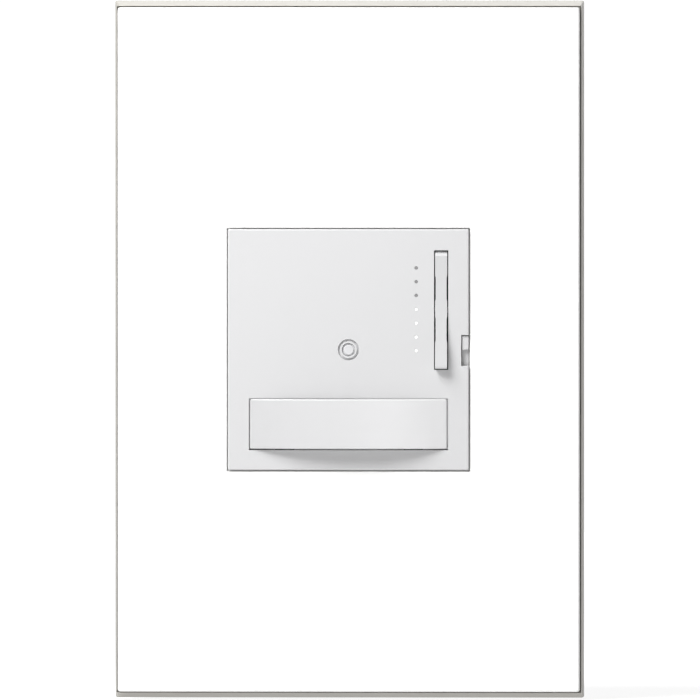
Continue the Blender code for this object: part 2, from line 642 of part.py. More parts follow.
def motion_sensor():
    width, height = SHROUD_SIZE
    front = PAD_FRONT + LENS_WALL + GAP
    shroud = piece("sensor_shroud",
                   rounded_block(span(0, width), (front, LENS_BACK), span(LENS_Z, height),
                                 0.5 * MM), "chip_black")
    cut(shroud, rounded_block(span(0, width - 4.0 * MM),
                              (front - OVERSHOOT, LENS_BACK + OVERSHOOT),
                              span(LENS_Z, height - 2.0 * MM), 2.0 * MM, 1, 4))
    can = [(0.0, DECK_FRONT), (3.8 * MM, DECK_FRONT), (4.1 * MM, DECK_FRONT + 0.3 * MM),
           (4.1 * MM, -3.5 * MM), (4.6 * MM, -3.5 * MM), (4.6 * MM, -3.0 * MM), (0.0, -3.0 * MM)]
    sensor = piece("motion_sensor", turned(can, (0, 0, LENS_Z), "Y", ROUND), "steel")
    cut(sensor, block(span(0, 4.0 * MM), (DECK_FRONT - OVERSHOOT, DECK_FRONT + 0.4 * MM),
                      span(LENS_Z, 3.0 * MM)))


# ---------- dimmer bar ----------
def dimmer_bar():
    x = span(BAR_X, BAR_WIDTH)
    centre = (PAD_FRONT - BAR_FACE_RADIUS, BAR_FACE_LOW_Z)
    top = math.asin((BAR_TOP - 0.9 * MM - BAR_FACE_LOW_Z) / BAR_FACE_RADIUS)
    bottom = math.asin((BAR_BOTTOM + 0.5 * MM - BAR_FACE_LOW_Z) / BAR_FACE_RADIUS)
    face = arc(centre, BAR_FACE_RADIUS, top, bottom, 12)
    nose = face[-1][0]
    back = PAD_BACK + 0.1 * MM
    outline = [(back, BAR_TOP), (face[0][0] + 0.8 * MM, BAR_TOP)] + face
    outline += [(nose + 0.15 * MM, BAR_BOTTOM + 0.15 * MM), (nose + 0.5 * MM, BAR_BOTTOM),
                (back, BAR_BOTTOM)]
    bar = piece("dimmer_bar", prism(outline, x[0], x[1], 0), "pad_white", "bar_pivot")
    hub = 1.1 * MM
    join(bar, block(x, (back - GAP, BAR_PIVOT.y), span(BAR_PIVOT.z, 2 * hub)),
         rod(hub, x, BAR_PIVOT.y, BAR_PIVOT.z, "X"))
    for side in (-1, 1):
        z = span(BAR_PIVOT.z + side * BAR_SWITCH_REACH, 1.2 * MM)
        join(bar, block(span(BAR_X, 1.4 * MM), (back - GAP, PLUNGER_FRONT - GAP), z))
    cut(bar, rod(BAR_PIVOT_HOLE, span(BAR_X, 4.0 * MM), BAR_PIVOT.y, BAR_PIVOT.z, "X"))
    piece("bar_pivot_pin", rod(0.5 * MM, span(BAR_X, 5.6 * MM), BAR_PIVOT.y, BAR_PIVOT.z, "X"),
          "steel")


# ---------- tact switches ----------
def tact_switch(name, x, z):
    """A square body with a blind bore, and the plunger that slides in it."""
    body_back = BOARD_FRONT - GAP
    body = piece(f"{name}_switch",
                 rounded_block(span(x, SWITCH_SIZE), (SWITCH_FRONT, body_back),
                               span(z, SWITCH_SIZE), 0.3 * MM), "chip_black")
    cut(body, rod(SWITCH_BORE, (SWITCH_FRONT - OVERSHOOT, body_back - 0.25 * MM), x, z))
    chamfer = 0.2 * MM
    profile = [(0.0, PLUNGER_FRONT), (PLUNGER_RADIUS - chamfer, PLUNGER_FRONT),
               (PLUNGER_RADIUS, PLUNGER_FRONT + chamfer), (PLUNGER_RADIUS, PLUNGER_BACK),
               (0.0, PLUNGER_BACK)]
    axis = f"{name}_slide"
    joint_axis(axis, (x, PLUNGER_FRONT, z))
    piece(f"{name}_plunger", turned(profile, (x, 0.0, z)), "pad_white", axis)


# ---------- air-gap switch ----------
def air_gap_switch():
    tab_back = DECK_FRONT + 0.2 * MM
    tab = rounded_block(TAB_X, (TAB_FRONT, tab_back), TAB_Z, 0.2 * MM)
    bevel(tab, 0.15 * MM, at(1, TAB_FRONT), 1)
    slider = piece("air_gap_slider", tab, "pad_white", "air_gap_slide")
    join(slider, block(TAB_X, (SKIRT_FRONT, tab_back), (SKIRT_LOW_Z, TAB_Z[0] + OVERSHOOT)))
    plate_back = -3.7 * MM
    plate_x = (TAB_X[0], TAB_X[1] - 0.3 * MM)
    leg_x = (18.4 * MM, 19.6 * MM)
    leg_z = (-8.0 * MM, -6.0 * MM)
    leg_back = 4.5 * MM
    arm_front = -4.7 * MM
    join(slider, block(plate_x, (DECK_FRONT, plate_back), (leg_z[0], TAB_Z[1] - 0.1 * MM)))
    join(slider, block((leg_x[0], plate_x[1] - 0.15 * MM), (arm_front, plate_back - 0.1 * MM), leg_z))
    join(slider, block(leg_x, (arm_front, leg_back), (leg_z[0] + 0.1 * MM, leg_z[1] - 0.1 * MM)))
    bridge_y = (2.2 * MM, 4.2 * MM)
    piece("bridge_contact",
          rounded_block((17.2 * MM, leg_x[0] - GAP), bridge_y, (-10.0 * MM, -4.0 * MM), 0.4 * MM, 2),
          "copper", "air_gap_slide")
    for place, z in (("upper", -4.8 * MM), ("lower", -10.0 * MM)):
        y = (bridge_y[0] - 0.2 * MM, POWER_BOARD_FRONT - GAP)
        piece(f"contact_{place}",
              rounded_block((15.4 * MM, 16.9 * MM), y, span(z, 1.2 * MM), 0.25 * MM, 1), "brass")


# ---------- boards ----------
def control_board():
    board = piece("control_board",
                  rounded_block(span(0, BOARD), (BOARD_FRONT, BOARD_BACK), span(0, BOARD), 0.8 * MM),
                  "board_green")
    through = (BOARD_FRONT - OVERSHOOT, BOARD_BACK + OVERSHOOT)
    cut(board, block((BOARD_NOTCH[0], BOARD / 2 + OVERSHOOT), through, BOARD_NOTCH[1:]))
    back = BOARD_BACK + GAP
    piece("microcontroller",
          rounded_block((-10 * MM, -3 * MM), (back, back + 1.0 * MM), (4 * MM, 11 * MM), 0.3 * MM),
          "chip_black")
    piece("board_connector",
          rounded_block((-17.5 * MM, -14.5 * MM), (back, POWER_BOARD_FRONT - GAP), span(0, 16 * MM),
                        0.4 * MM), "chip_black")
    front = BOARD_FRONT - GAP
    for number in range(DOT_COUNT):
        z = DOT_TOP_Z - number * DOT_PITCH
        piece(f"level_led_{number + 1}",
              rounded_block(span(DOT_X, 1.2 * MM), (front - 0.7 * MM, front), span(z, 0.8 * MM),
                            0.15 * MM, 1, 1), "led_yellow")
    piece("status_led",
          rounded_block(span(0, 1.6 * MM), (front - 0.8 * MM, front), span(0, 1.2 * MM),
                        0.15 * MM, 1, 1), "led_yellow")


def power_board():
    board = piece("power_board",
                  rounded_block(span(0, POWER_BOARD[0]), (POWER_BOARD_FRONT, POWER_BOARD_BACK),
                                span(0, POWER_BOARD[1]), 0.8 * MM), "board_green")
    cut(board, rod(1.5 * MM, (POWER_BOARD_FRONT - OVERSHOOT, POWER_BOARD_BACK + OVERSHOOT),
                   0.0, 0.0))
    seat = POWER_BOARD_BACK + GAP
    for number, low in enumerate((-24.0 * MM, -6.0 * MM), 1):
        case_top = low + 9.2 * MM
        transistor = piece(f"transistor_{number}",
                           rounded_block((4 * MM, 14 * MM), (seat, seat + 4.5 * MM),
                                         (low, case_top), 0.4 * MM, 2), "chip_black")
        join(transistor, block((4 * MM, 14 * MM), (seat + 0.2 * MM, seat + 1.5 * MM),
                               (case_top - 0.5 * MM, low + 15.5 * MM)))
        cut(transistor, rod(1.8 * MM, (seat - OVERSHOOT, seat + 2.5 * MM), 9 * MM, low + 12.4 * MM))
    choke_x, choke_z = -9.5 * MM, 17.5 * MM
    bobbin_radius, core_radius, flange = 7.5 * MM, 3.6 * MM, 1.2 * MM
    top = seat + 12.0 * MM
    bobbin = [(0.0, seat), (bobbin_radius, seat), (bobbin_radius, seat + flange),
              (core_radius, seat + flange), (core_radius, top - flange),
              (bobbin_radius, top - flange), (bobbin_radius, top), (0.0, top)]
    piece("choke_bobbin", turned(bobbin, (choke_x, 0.0, choke_z), "Y", ROUND), "chip_black")
    piece("choke_winding",
          tube(6.6 * MM, core_radius + GAP, (seat + flange + GAP, top - flange - GAP),
               choke_x, choke_z, "Y", ROUND), "copper")
    film = rounded_block((-16 * MM, -4 * MM), (seat, seat + 12 * MM), (-24 * MM, -7 * MM), 0.8 * MM)
    bevel(film, 0.8 * MM, at(1, seat + 12 * MM))
    piece("film_capacitor", film, "capacitor_red")
    radius = 5.0 * MM
    end = seat + 16.0 * MM
    can = [(0.0, seat), (radius, seat), (radius, seat + 1.6 * MM),
           (radius - 0.5 * MM, seat + 2.0 * MM), (radius, seat + 2.4 * MM),
           (radius, end - 0.5 * MM), (radius - 0.5 * MM, end), (0.0, end)]
    piece("electrolytic_capacitor", turned(can, (-9.5 * MM, 0.0, 2.5 * MM), "Y", ROUND),
          "capacitor_blue")


# ---------- rear housing and terminals ----------
def rear_housing():
    height = span(0, HOUSING_HEIGHT)
    wide = rounded_block(span(0, HOUSING_WIDTH), (HOUSING_FRONT, HOUSING_STEP), height, 2.0 * MM, 1, 3)
    housing = piece("rear_housing", wide, "housing_black")
    narrow = rounded_block(span(0, HOUSING_NARROW), (HOUSING_STEP - OVERSHOOT, HOUSING_BACK), height,
                           2.0 * MM, 1, 3)
    bevel(narrow, 1.0 * MM, at(1, HOUSING_BACK), 2)
    join(housing, narrow)
    inner_z = span(0, HOUSING_HEIGHT - 2 * HOUSING_WALL)
    shoulder = POWER_BOARD_BACK + GAP
    cut(housing, block(span(0, HOUSING_WIDTH - 2 * HOUSING_WALL),
                       (HOUSING_FRONT - OVERSHOOT, shoulder), inner_z))
    cut(housing, block(span(0, HOUSING_NARROW - 2 * HOUSING_WALL),
                       (shoulder - OVERSHOOT, HOUSING_BACK - HOUSING_WALL), inner_z))
    for side in (-1, 1):
        for level in (-1, 1):
            x = sorted((side * 13.3 * MM, side * 20.2 * MM))
            z = sorted((level * 26.3 * MM, level * 31.8 * MM))
            join(housing, block(x, (HOUSING_FRONT, shoulder + OVERSHOOT), z))
            cut(housing, rod(1.5 * MM, (HOUSING_FRONT - OVERSHOOT, 8.6 * MM),
                             side * HOUSING_SCREW[0], level * HOUSING_SCREW[1], "Y", 12))
    for side, z in TERMINALS.values():
        x = sorted((side * 17.0 * MM, side * 20.5 * MM))
        cut(housing, rod(2.0 * MM, x, TERMINAL_Y, z, "X", 12))


def terminals():
    wall = HOUSING_NARROW / 2
    for name, (side, z) in TERMINALS.items():
        plate_x = sorted((side * (wall + GAP), side * (wall + 1.2 * MM)))
        clamp = piece(f"terminal_plate_{name}",
                      rounded_block(plate_x, span(TERMINAL_Y, 8.5 * MM), span(z, 8.0 * MM),
                                    1.0 * MM, 0), "brass")
        cut(clamp, rod(2.0 * MM, (plate_x[0] - OVERSHOOT, plate_x[1] + OVERSHOOT),
                       TERMINAL_Y, z, "X", 12))
        near = wall + 1.5 * MM
        far = near + 1.6 * MM
        tip = wall - 3.1 * MM
        profile = [(0.0, side * far), (2.6 * MM, side * far), (3.2 * MM, side * (far - 0.5 * MM)),
                   (3.2 * MM, side * near), (1.7 * MM, side * near), (1.7 * MM, side * tip),
                   (0.0, side * tip)]
        head = piece(f"terminal_screw_{name}", turned(profile, (0.0, TERMINAL_Y, z), "X"), "brass")
        slot_x = sorted((side * (far - SLOT_DEPTH), side * (far + OVERSHOOT)))
        cut(head, block(slot_x, span(TERMINAL_Y, 8.0 * MM), span(z, SLOT_WIDTH)))


joint_axis("pad_hinge", PAD_HINGE)
joint_axis("bar_pivot", BAR_PIVOT)
joint_axis("air_gap_slide", (sum(TAB_X) / 2, PAD_FRONT, sum(TAB_Z) / 2))

wall_plate()
plate_frame()
mounting_strap()
fixings()
module_frame()
push_pad()
status_light()
light_guide()
pad_spring("pad_spring_left", -SPRING_PLACE[0], SPRING_PLACE[1])
pad_spring("pad_spring_right", SPRING_PLACE[0], SPRING_PLACE[1])
sensor_lens()
motion_sensor()
dimmer_bar()
tact_switch("pad", 0.0, PAD_SWITCH_Z)
tact_switch("brighten", BAR_X, BAR_PIVOT.z + BAR_SWITCH_REACH)
tact_switch("dim", BAR_X, BAR_PIVOT.z - BAR_SWITCH_REACH)
air_gap_switch()
control_board()
power_board()
rear_housing()
terminals()
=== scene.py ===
import json
import math

import bmesh
import bpy
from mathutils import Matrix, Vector


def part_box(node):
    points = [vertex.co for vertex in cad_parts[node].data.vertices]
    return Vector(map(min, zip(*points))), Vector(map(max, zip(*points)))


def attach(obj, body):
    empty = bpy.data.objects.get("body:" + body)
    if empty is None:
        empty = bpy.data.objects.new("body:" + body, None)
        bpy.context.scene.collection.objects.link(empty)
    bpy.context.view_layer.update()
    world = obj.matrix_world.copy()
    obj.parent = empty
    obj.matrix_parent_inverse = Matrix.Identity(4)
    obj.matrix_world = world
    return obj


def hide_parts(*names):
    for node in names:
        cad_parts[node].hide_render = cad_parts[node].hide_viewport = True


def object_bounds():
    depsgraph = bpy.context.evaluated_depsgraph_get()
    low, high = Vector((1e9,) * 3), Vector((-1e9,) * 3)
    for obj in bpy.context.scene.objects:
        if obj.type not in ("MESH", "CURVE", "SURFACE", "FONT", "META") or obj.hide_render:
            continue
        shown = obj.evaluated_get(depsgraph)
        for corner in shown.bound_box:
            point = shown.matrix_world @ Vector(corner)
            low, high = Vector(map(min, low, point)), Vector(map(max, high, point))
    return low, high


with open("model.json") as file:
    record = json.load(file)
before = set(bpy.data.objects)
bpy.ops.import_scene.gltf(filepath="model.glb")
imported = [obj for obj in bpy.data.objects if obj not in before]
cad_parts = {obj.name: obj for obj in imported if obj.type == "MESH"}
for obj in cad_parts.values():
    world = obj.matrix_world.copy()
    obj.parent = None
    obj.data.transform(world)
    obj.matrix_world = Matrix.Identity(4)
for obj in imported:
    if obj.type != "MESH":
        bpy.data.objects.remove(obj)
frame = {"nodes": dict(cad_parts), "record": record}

cad_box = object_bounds()

# ---------------------------------------------------------------------------
# Camera.  It stands far off, a little to the right of the dimmer and a little
# above it, so the plate fills the frame and its edges stay parallel.
# ---------------------------------------------------------------------------
MM = 0.001
FIELD = 130.86 * MM              # what the frame's width covers at the plate
LENS = 1200.0
SENSOR = 36.0
FROM_RIGHT = math.radians(1.65)
FROM_ABOVE = math.radians(0.93)

camera = bpy.data.cameras.new("camera")
camera.lens = LENS
camera.sensor_width = SENSOR
camera.clip_start = 0.1
camera.clip_end = 12.0
camera_object = bpy.data.objects.new("camera", camera)
bpy.context.scene.collection.objects.link(camera_object)
toward_camera = Vector((math.sin(FROM_RIGHT) * math.cos(FROM_ABOVE),
                        -math.cos(FROM_RIGHT) * math.cos(FROM_ABOVE),
                        math.sin(FROM_ABOVE)))
looks_at = Vector((0.03 * MM, 0.0, -0.20 * MM))
camera_object.location = looks_at + toward_camera * (FIELD * LENS / SENSOR)
camera_object.rotation_euler = (-toward_camera).to_track_quat("-Z", "Y").to_euler()
bpy.context.scene.camera = camera_object

# ---------------------------------------------------------------------------
# Studio.  A white backdrop, a large soft window to the upper left, a panel to
# the right that glances off the lens, a light behind, and a floor of paper.
# ---------------------------------------------------------------------------
AMBIENT = 0.27           # what the room sheds on the dimmer
BACKDROP = 1.06          # how bright its walls look
FLOOR_GLOW = 0.76

scene = bpy.context.scene
scene.view_settings.view_transform = "Standard"
world = bpy.data.worlds.new("studio")
scene.world = world
world.use_nodes = True
background = world.node_tree.nodes["Background"]
background.inputs["Color"].default_value = (1.0, 1.0, 1.0, 1.0)
rays = world.node_tree.nodes.new("ShaderNodeLightPath")
strength = world.node_tree.nodes.new("ShaderNodeMapRange")
strength.inputs["To Min"].default_value = AMBIENT
strength.inputs["To Max"].default_value = BACKDROP
world.node_tree.links.new(rays.outputs["Is Camera Ray"], strength.inputs["Value"])
world.node_tree.links.new(strength.outputs["Result"], background.inputs["Strength"])


def soft_light(name, place, width, height, power):
    """Add a soft box that faces the dimmer's centre."""
    light = bpy.data.lights.new(name, "AREA")
    light.shape = "RECTANGLE"
    light.size = width
    light.size_y = height
    light.energy = power
    lamp = bpy.data.objects.new(name, light)
    scene.collection.objects.link(lamp)
    lamp.location = place
    lamp.rotation_euler = Vector(place).to_track_quat("Z", "Y").to_euler()


FLOOR_SIZE = 2.6
FLOOR_GREY = 0.31
soft_light("window_light", (-0.22, -0.25, 0.37), 0.28, 0.28, 4.8)
soft_light("lens_panel", (0.46, -1.95, 0.0), 0.35, 0.80, 4.2)
soft_light("back_light", (0.25, 1.60, 0.50), 0.90, 0.90, 8.0)

bpy.ops.mesh.primitive_plane_add(size=FLOOR_SIZE, location=(0.0, 0.0, cad_box[0].z - 0.3 * MM))
floor = bpy.context.object
floor.name = "floor"
floor_paper = bpy.data.materials.new("floor_paper")
floor_paper.use_nodes = True
floor_shader = floor_paper.node_tree.nodes["Principled BSDF"]
floor_shader.inputs["Base Color"].default_value = (FLOOR_GREY, FLOOR_GREY, FLOOR_GREY, 1.0)
floor_shader.inputs["Roughness"].default_value = 0.9
floor_shader.inputs["Emission Color"].default_value = (1.0, 1.0, 1.0, 1.0)
floor_shader.inputs["Emission Strength"].default_value = FLOOR_GLOW
floor.data.materials.append(floor_paper)


# ---------------------------------------------------------------------------
# Wall plate.  A slab of glossy white plastic with a square window, a collar
# behind the window and a rib all round the back that snaps into the frame.
# ---------------------------------------------------------------------------
class Signal:
    """A shader socket that takes part in arithmetic; add() makes any other node."""

    def __init__(self, tree, socket=None):
        self.tree = tree
        self.socket = socket

    def add(self, kind, settings=None, inputs=None, output=0):
        node = self.tree.nodes.new(kind)
        for name, value in (settings or {}).items():
            setattr(node, name, value)
        for name, value in (inputs or {}).items():
            if isinstance(value, Signal):
                self.tree.links.new(value.socket, node.inputs[name])
            else:
                node.inputs[name].default_value = value
        return Signal(self.tree, node.outputs[output])

    def math(self, operation, first, second):
        return self.add("ShaderNodeMath", {"operation": operation}, {0: first, 1: second})

    def __add__(self, other):
        return self.math("ADD", self, other)

    def __sub__(self, other):
        return self.math("SUBTRACT", self, other)

    def __rsub__(self, other):
        return self.math("SUBTRACT", other, self)

    def __mul__(self, other):
        return self.math("MULTIPLY", self, other)

    __radd__ = __add__
    __rmul__ = __mul__


def new_material(name, **sockets):
    """Return a material, its shader node and a signal of the object's coordinates."""
    material = bpy.data.materials.new(name)
    material.use_nodes = True
    tree = material.node_tree
    shader = tree.nodes["Principled BSDF"]
    for socket, value in sockets.items():
        shader.inputs[socket.replace("_", " ")].default_value = value
    place = Signal(tree).add("ShaderNodeTexCoord", output=3)
    return material, shader, place


def link(shader, socket, signal):
    signal.tree.links.new(signal.socket, shader.inputs[socket])


def noise(place, scale, detail=2.0, roughness=0.5):
    """Return noise from 0 to 1, with its grain given in cycles per metre."""
    return place.add("ShaderNodeTexNoise", None,
                     {"Vector": place, "Scale": scale, "Detail": detail, "Roughness": roughness})


def blend_colours(factor, first, second):
    return factor.add("ShaderNodeMix", {"data_type": "RGBA"}, {0: factor, 6: first, 7: second}, 2)


def moulded(name, colour, shade, roughness, grain, depth, **sockets):
    """A moulded plastic: two close colours that drift, and the mould's fine grain.

    grain is the size of the mould's texture and depth its height, both in metres.
    """
    material, shader, place = new_material(name, **sockets)
    drift = noise(place, 45.0, 3.0)
    texture = noise(place, 1.0 / grain, 3.0, 0.6)
    link(shader, "Base Color", blend_colours(drift, (*colour, 1.0), (*shade, 1.0)))
    link(shader, "Roughness", (drift - 0.5) * 0.10 + (texture - 0.5) * 0.06 + roughness)
    bump = place.add("ShaderNodeBump", None,
                     {"Strength": 1.0, "Distance": depth, "Height": texture})
    link(shader, "Normal", bump)
    return material


plate_white = moulded("plate_white", (0.75, 0.75, 0.745), (0.735, 0.735, 0.725), 0.27,
                      0.9 * MM, 0.004 * MM, IOR=1.49)


def active(obj):
    bpy.ops.object.select_all(action="DESELECT")
    obj.select_set(True)
    bpy.context.view_layer.objects.active = obj
    return obj


def settle(obj):
    """Put a piece's place, turn and size into its mesh."""
    active(obj)
    bpy.ops.object.transform_apply(location=True, rotation=True, scale=True)


def add_box(name, low, high):
    """Add a cube primitive between two corners, with its place in its mesh."""
    bpy.ops.object.select_all(action="DESELECT")
    low, high = Vector(low), Vector(high)
    bpy.ops.mesh.primitive_cube_add(size=1.0, location=(low + high) / 2)
    obj = bpy.context.object
    obj.name = name
    obj.scale = high - low
    settle(obj)
    return obj


def add_round(name, radius, low, high, axis="Y", sides=48):
    """Add a cylinder primitive along an axis, between two points."""
    bpy.ops.object.select_all(action="DESELECT")
    low, high = Vector(low), Vector(high)
    turn = {"X": (0.0, math.pi / 2, 0.0), "Y": (math.pi / 2, 0.0, 0.0), "Z": (0.0, 0.0, 0.0)}[axis]
    bpy.ops.mesh.primitive_cylinder_add(vertices=sides, radius=radius, depth=(high - low).length,
                                        location=(low + high) / 2, rotation=turn)
    obj = bpy.context.object
    obj.name = name
    settle(obj)
    return obj


def boolean(obj, other, operation="DIFFERENCE"):
    """Cut, join or intersect with another piece, which is used up."""
    modifier = obj.modifiers.new(operation, "BOOLEAN")
    modifier.operation = operation
    modifier.object = other
    active(obj)
    bpy.ops.object.modifier_apply(modifier=modifier.name)
    bpy.data.objects.remove(other)
    return obj


def bevel_edges(obj, width, segments, chosen):
    """Round the edges that the test picks, in edit mode."""
    active(obj)
    bpy.ops.object.mode_set(mode="EDIT")
    bpy.ops.mesh.select_mode(type="EDGE")
    bpy.ops.mesh.select_all(action="DESELECT")
    mesh = bmesh.from_edit_mesh(obj.data)
    for edge in mesh.edges:
        edge.select_set(chosen(edge.verts[0].co, edge.verts[1].co))
    bmesh.update_edit_mesh(obj.data)
    bpy.ops.mesh.bevel(offset=width, segments=segments, profile=0.5, clamp_overlap=True)
    bpy.ops.object.mode_set(mode="OBJECT")


def soften(obj, width, segments=2, angle=35.0):
    """Break every sharp edge with a Bevel modifier."""
    modifier = obj.modifiers.new("soften", "BEVEL")
    modifier.width = width
    modifier.segments = segments
    modifier.limit_method = "ANGLE"
    modifier.angle_limit = math.radians(angle)
    modifier.use_clamp_overlap = True
    active(obj)
    bpy.ops.object.modifier_apply(modifier=modifier.name)


def hand_over(obj, material, body, slot, *nodes):
    """Shade a finished piece, give it its finish and let it stand for its CAD nodes."""
    active(obj)
    bpy.ops.object.shade_smooth_by_angle(angle=math.radians(40))
    modifier = obj.modifiers.new("flat_faces_stay_flat", "WEIGHTED_NORMAL")
    modifier.keep_sharp = True
    bpy.ops.object.modifier_apply(modifier=modifier.name)
    obj.data.materials.clear()
    obj.data.materials.append(material)
    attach(obj, body)
    if nodes:
        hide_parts(*nodes)
    return obj


def upright(a, b):
    """Tell whether an edge runs along Y."""
    return abs(a.x - b.x) < 1e-6 and abs(a.z - b.z) < 1e-6


def span(side, near, far):
    """Return two places on one side of the middle, the lower one first."""
    return sorted((side * near, side * far))


plate_low, plate_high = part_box("wall_plate")
PLATE_BACK = -6.2 * MM
OPENING = 45.5 * MM
half_opening = OPENING / 2
half_ledge = 22.6 * MM           # a step round the window, behind its front edge
LEDGE_FRONT = -8.45 * MM
JOIN = 0.5 * MM                  # how far pieces run into each other before they are joined
COLLAR_WALL = 1.5 * MM
RIB = (39.5 * MM, 60.2 * MM)
RIB_BACK = -4.2 * MM
RIB_WALL = 1.2 * MM
WEB_BACK = -5.2 * MM
WEB_HALF = 0.4 * MM
EJECTOR_RADIUS = 2.0 * MM
EJECTOR_MARKS = ((31.36 * MM, 33.0 * MM), (28.0 * MM, 54.0 * MM))

plate = add_box("plate_slab", plate_low, (plate_high.x, PLATE_BACK, plate_high.z))
bevel_edges(plate, 0.5 * MM, 4, upright)
bevel_edges(plate, 0.35 * MM, 4,
            lambda a, b: max(a.y, b.y) < plate_low.y + 1e-6)
collar = half_opening + COLLAR_WALL
boolean(plate, add_box("collar", (-collar, PLATE_BACK - JOIN, -collar),
                       (collar, plate_high.y, collar)), "UNION")
rib = add_box("rib", (-RIB[0], PLATE_BACK - JOIN, -RIB[1]), (RIB[0], RIB_BACK, RIB[1]))
boolean(rib, add_box("rib_inside", (-RIB[0] + RIB_WALL, PLATE_BACK - 2 * JOIN, -RIB[1] + RIB_WALL),
                     (RIB[0] - RIB_WALL, 0.0, RIB[1] - RIB_WALL)))
boolean(plate, rib, "UNION")
# stiffening webs that run from the collar to the rib, and the ejector pins' marks
for side in (-1, 1):
    x = span(side, collar - 0.3 * MM, RIB[0] - 0.6 * MM)
    for z in (-15.0 * MM, 0.0, 15.0 * MM):
        boolean(plate, add_box("web", (x[0], PLATE_BACK - JOIN, z - WEB_HALF),
                               (x[1], WEB_BACK, z + WEB_HALF)), "UNION")
for mark_x, mark_z in EJECTOR_MARKS:
    for x in (-mark_x, mark_x):
        for z in (-mark_z, mark_z):
            boolean(plate, add_round("mark", EJECTOR_RADIUS, (x, PLATE_BACK - JOIN, z),
                                     (x, PLATE_BACK + 0.12 * MM, z)), "UNION")
boolean(plate, add_box("window", (-half_opening, plate_low.y - MM, -half_opening),
                       (half_opening, LEDGE_FRONT, half_opening)))
boolean(plate, add_box("inner_window", (-half_ledge, LEDGE_FRONT - 0.1 * MM, -half_ledge),
                       (half_ledge, 0.0, half_ledge)))
soften(plate, 0.07 * MM, 2, 60.0)
hand_over(plate, plate_white, "root", "plate_white", "wall_plate")

# ---------------------------------------------------------------------------
# Plate frame.  A warm grey moulding under the slab, screwed to the strap; its
# leaning rim is all of it that shows.
# ---------------------------------------------------------------------------
frame_grey = moulded("frame_grey", (0.35, 0.338, 0.308), (0.335, 0.322, 0.292), 0.46,
                     0.28 * MM, 0.010 * MM, IOR=1.5)

rim_low, rim_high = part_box("plate_frame")
RIM_FOOT = 0.9 * MM
RIM_LEAN = (0.38 * MM, 0.98 * MM)
GROOVE = 0.24 * MM                # shadow line round the slab
GROOVE_FLOOR = -5.1 * MM
HOLLOW = (79.6 * MM, 121.0 * MM)
PLATE_SCREW_Z = 48.4 * MM
CROSS_BAR_HALF = 2.5 * MM
CROSS_BAR_Y = (-3.8 * MM, -1.5 * MM)
GUSSET_X = (36.5 * MM, 40.3 * MM)
GUSSET_Y = (-3.6 * MM, -1.9 * MM)
GUSSET_Z = 5.5 * MM

rim = add_box("plate_frame_rim", rim_low, rim_high)
active(rim)
bpy.ops.object.mode_set(mode="EDIT")
bpy.ops.mesh.select_all(action="SELECT")
bpy.ops.mesh.bisect(plane_co=(0.0, rim_high.y - RIM_FOOT, 0.0), plane_no=(0.0, 1.0, 0.0))
bpy.ops.mesh.select_all(action="DESELECT")
bpy.ops.mesh.select_mode(type="VERT")
mesh = bmesh.from_edit_mesh(rim.data)
for vert in mesh.verts:
    vert.select_set(vert.co.y < rim_low.y + 1e-6)
mesh.select_flush_mode()
bmesh.update_edit_mesh(rim.data)
lean_x, lean_z = RIM_LEAN[0] / rim_high.x, RIM_LEAN[1] / rim_high.z
bpy.ops.transform.resize(value=(1.0 - lean_x, 1.0, 1.0 - lean_z),
                         center_override=(0.0, rim_low.y, 0.0))
bpy.ops.object.mode_set(mode="OBJECT")
bevel_edges(rim, 0.4 * MM, 3, lambda a, b: abs(a.y - b.y) > 0.5 * MM)
boolean(rim, add_box("hollow", (-HOLLOW[0] / 2, -9 * MM, -HOLLOW[1] / 2),
                     (HOLLOW[0] / 2, MM, HOLLOW[1] / 2)))
groove_x, groove_z = plate_high.x - 0.02 * MM, plate_high.z - 0.02 * MM
groove = add_box("groove", (-groove_x - GROOVE, rim_low.y - MM, -groove_z - GROOVE),
                 (groove_x + GROOVE, GROOVE_FLOOR, groove_z + GROOVE))
boolean(groove, add_box("groove_core", (-groove_x, rim_low.y - 2 * MM, -groove_z),
                        (groove_x, 0.0, groove_z)))
boolean(rim, groove)
for side in (-1, 1):
    z = side * PLATE_SCREW_Z
    boolean(rim, add_box("cross_bar", (-HOLLOW[0] / 2 - JOIN, CROSS_BAR_Y[0], z - CROSS_BAR_HALF),
                         (HOLLOW[0] / 2 + JOIN, CROSS_BAR_Y[1], z + CROSS_BAR_HALF)), "UNION")
    boolean(rim, add_round("screw_hole", 1.9 * MM, (0.0, -5.0 * MM, z), (0.0, 0.0, z)))
    # gussets between the cross bar and the rim
    gusset_z = span(side, PLATE_SCREW_Z, PLATE_SCREW_Z + GUSSET_Z)
    for other in (-1, 1):
        x = span(other, *GUSSET_X)
        boolean(rim, add_box("gusset", (x[0], GUSSET_Y[0], gusset_z[0]),
                             (x[1], GUSSET_Y[1], gusset_z[1])), "UNION")
soften(rim, 0.04 * MM, 2, 60.0)
hand_over(rim, frame_grey, "root", "frame_grey", "plate_frame")

# ---------------------------------------------------------------------------
# Push pad.  A square tile of satin white plastic that hangs from its top edge.
# It is pierced for the lens, the bar, the slider, the status ring and the dots.
# ---------------------------------------------------------------------------
pad_white = moulded("pad_white", (0.470, 0.470, 0.475), (0.460, 0.460, 0.465), 0.42,
                    0.35 * MM, 0.006 * MM, IOR=1.5)

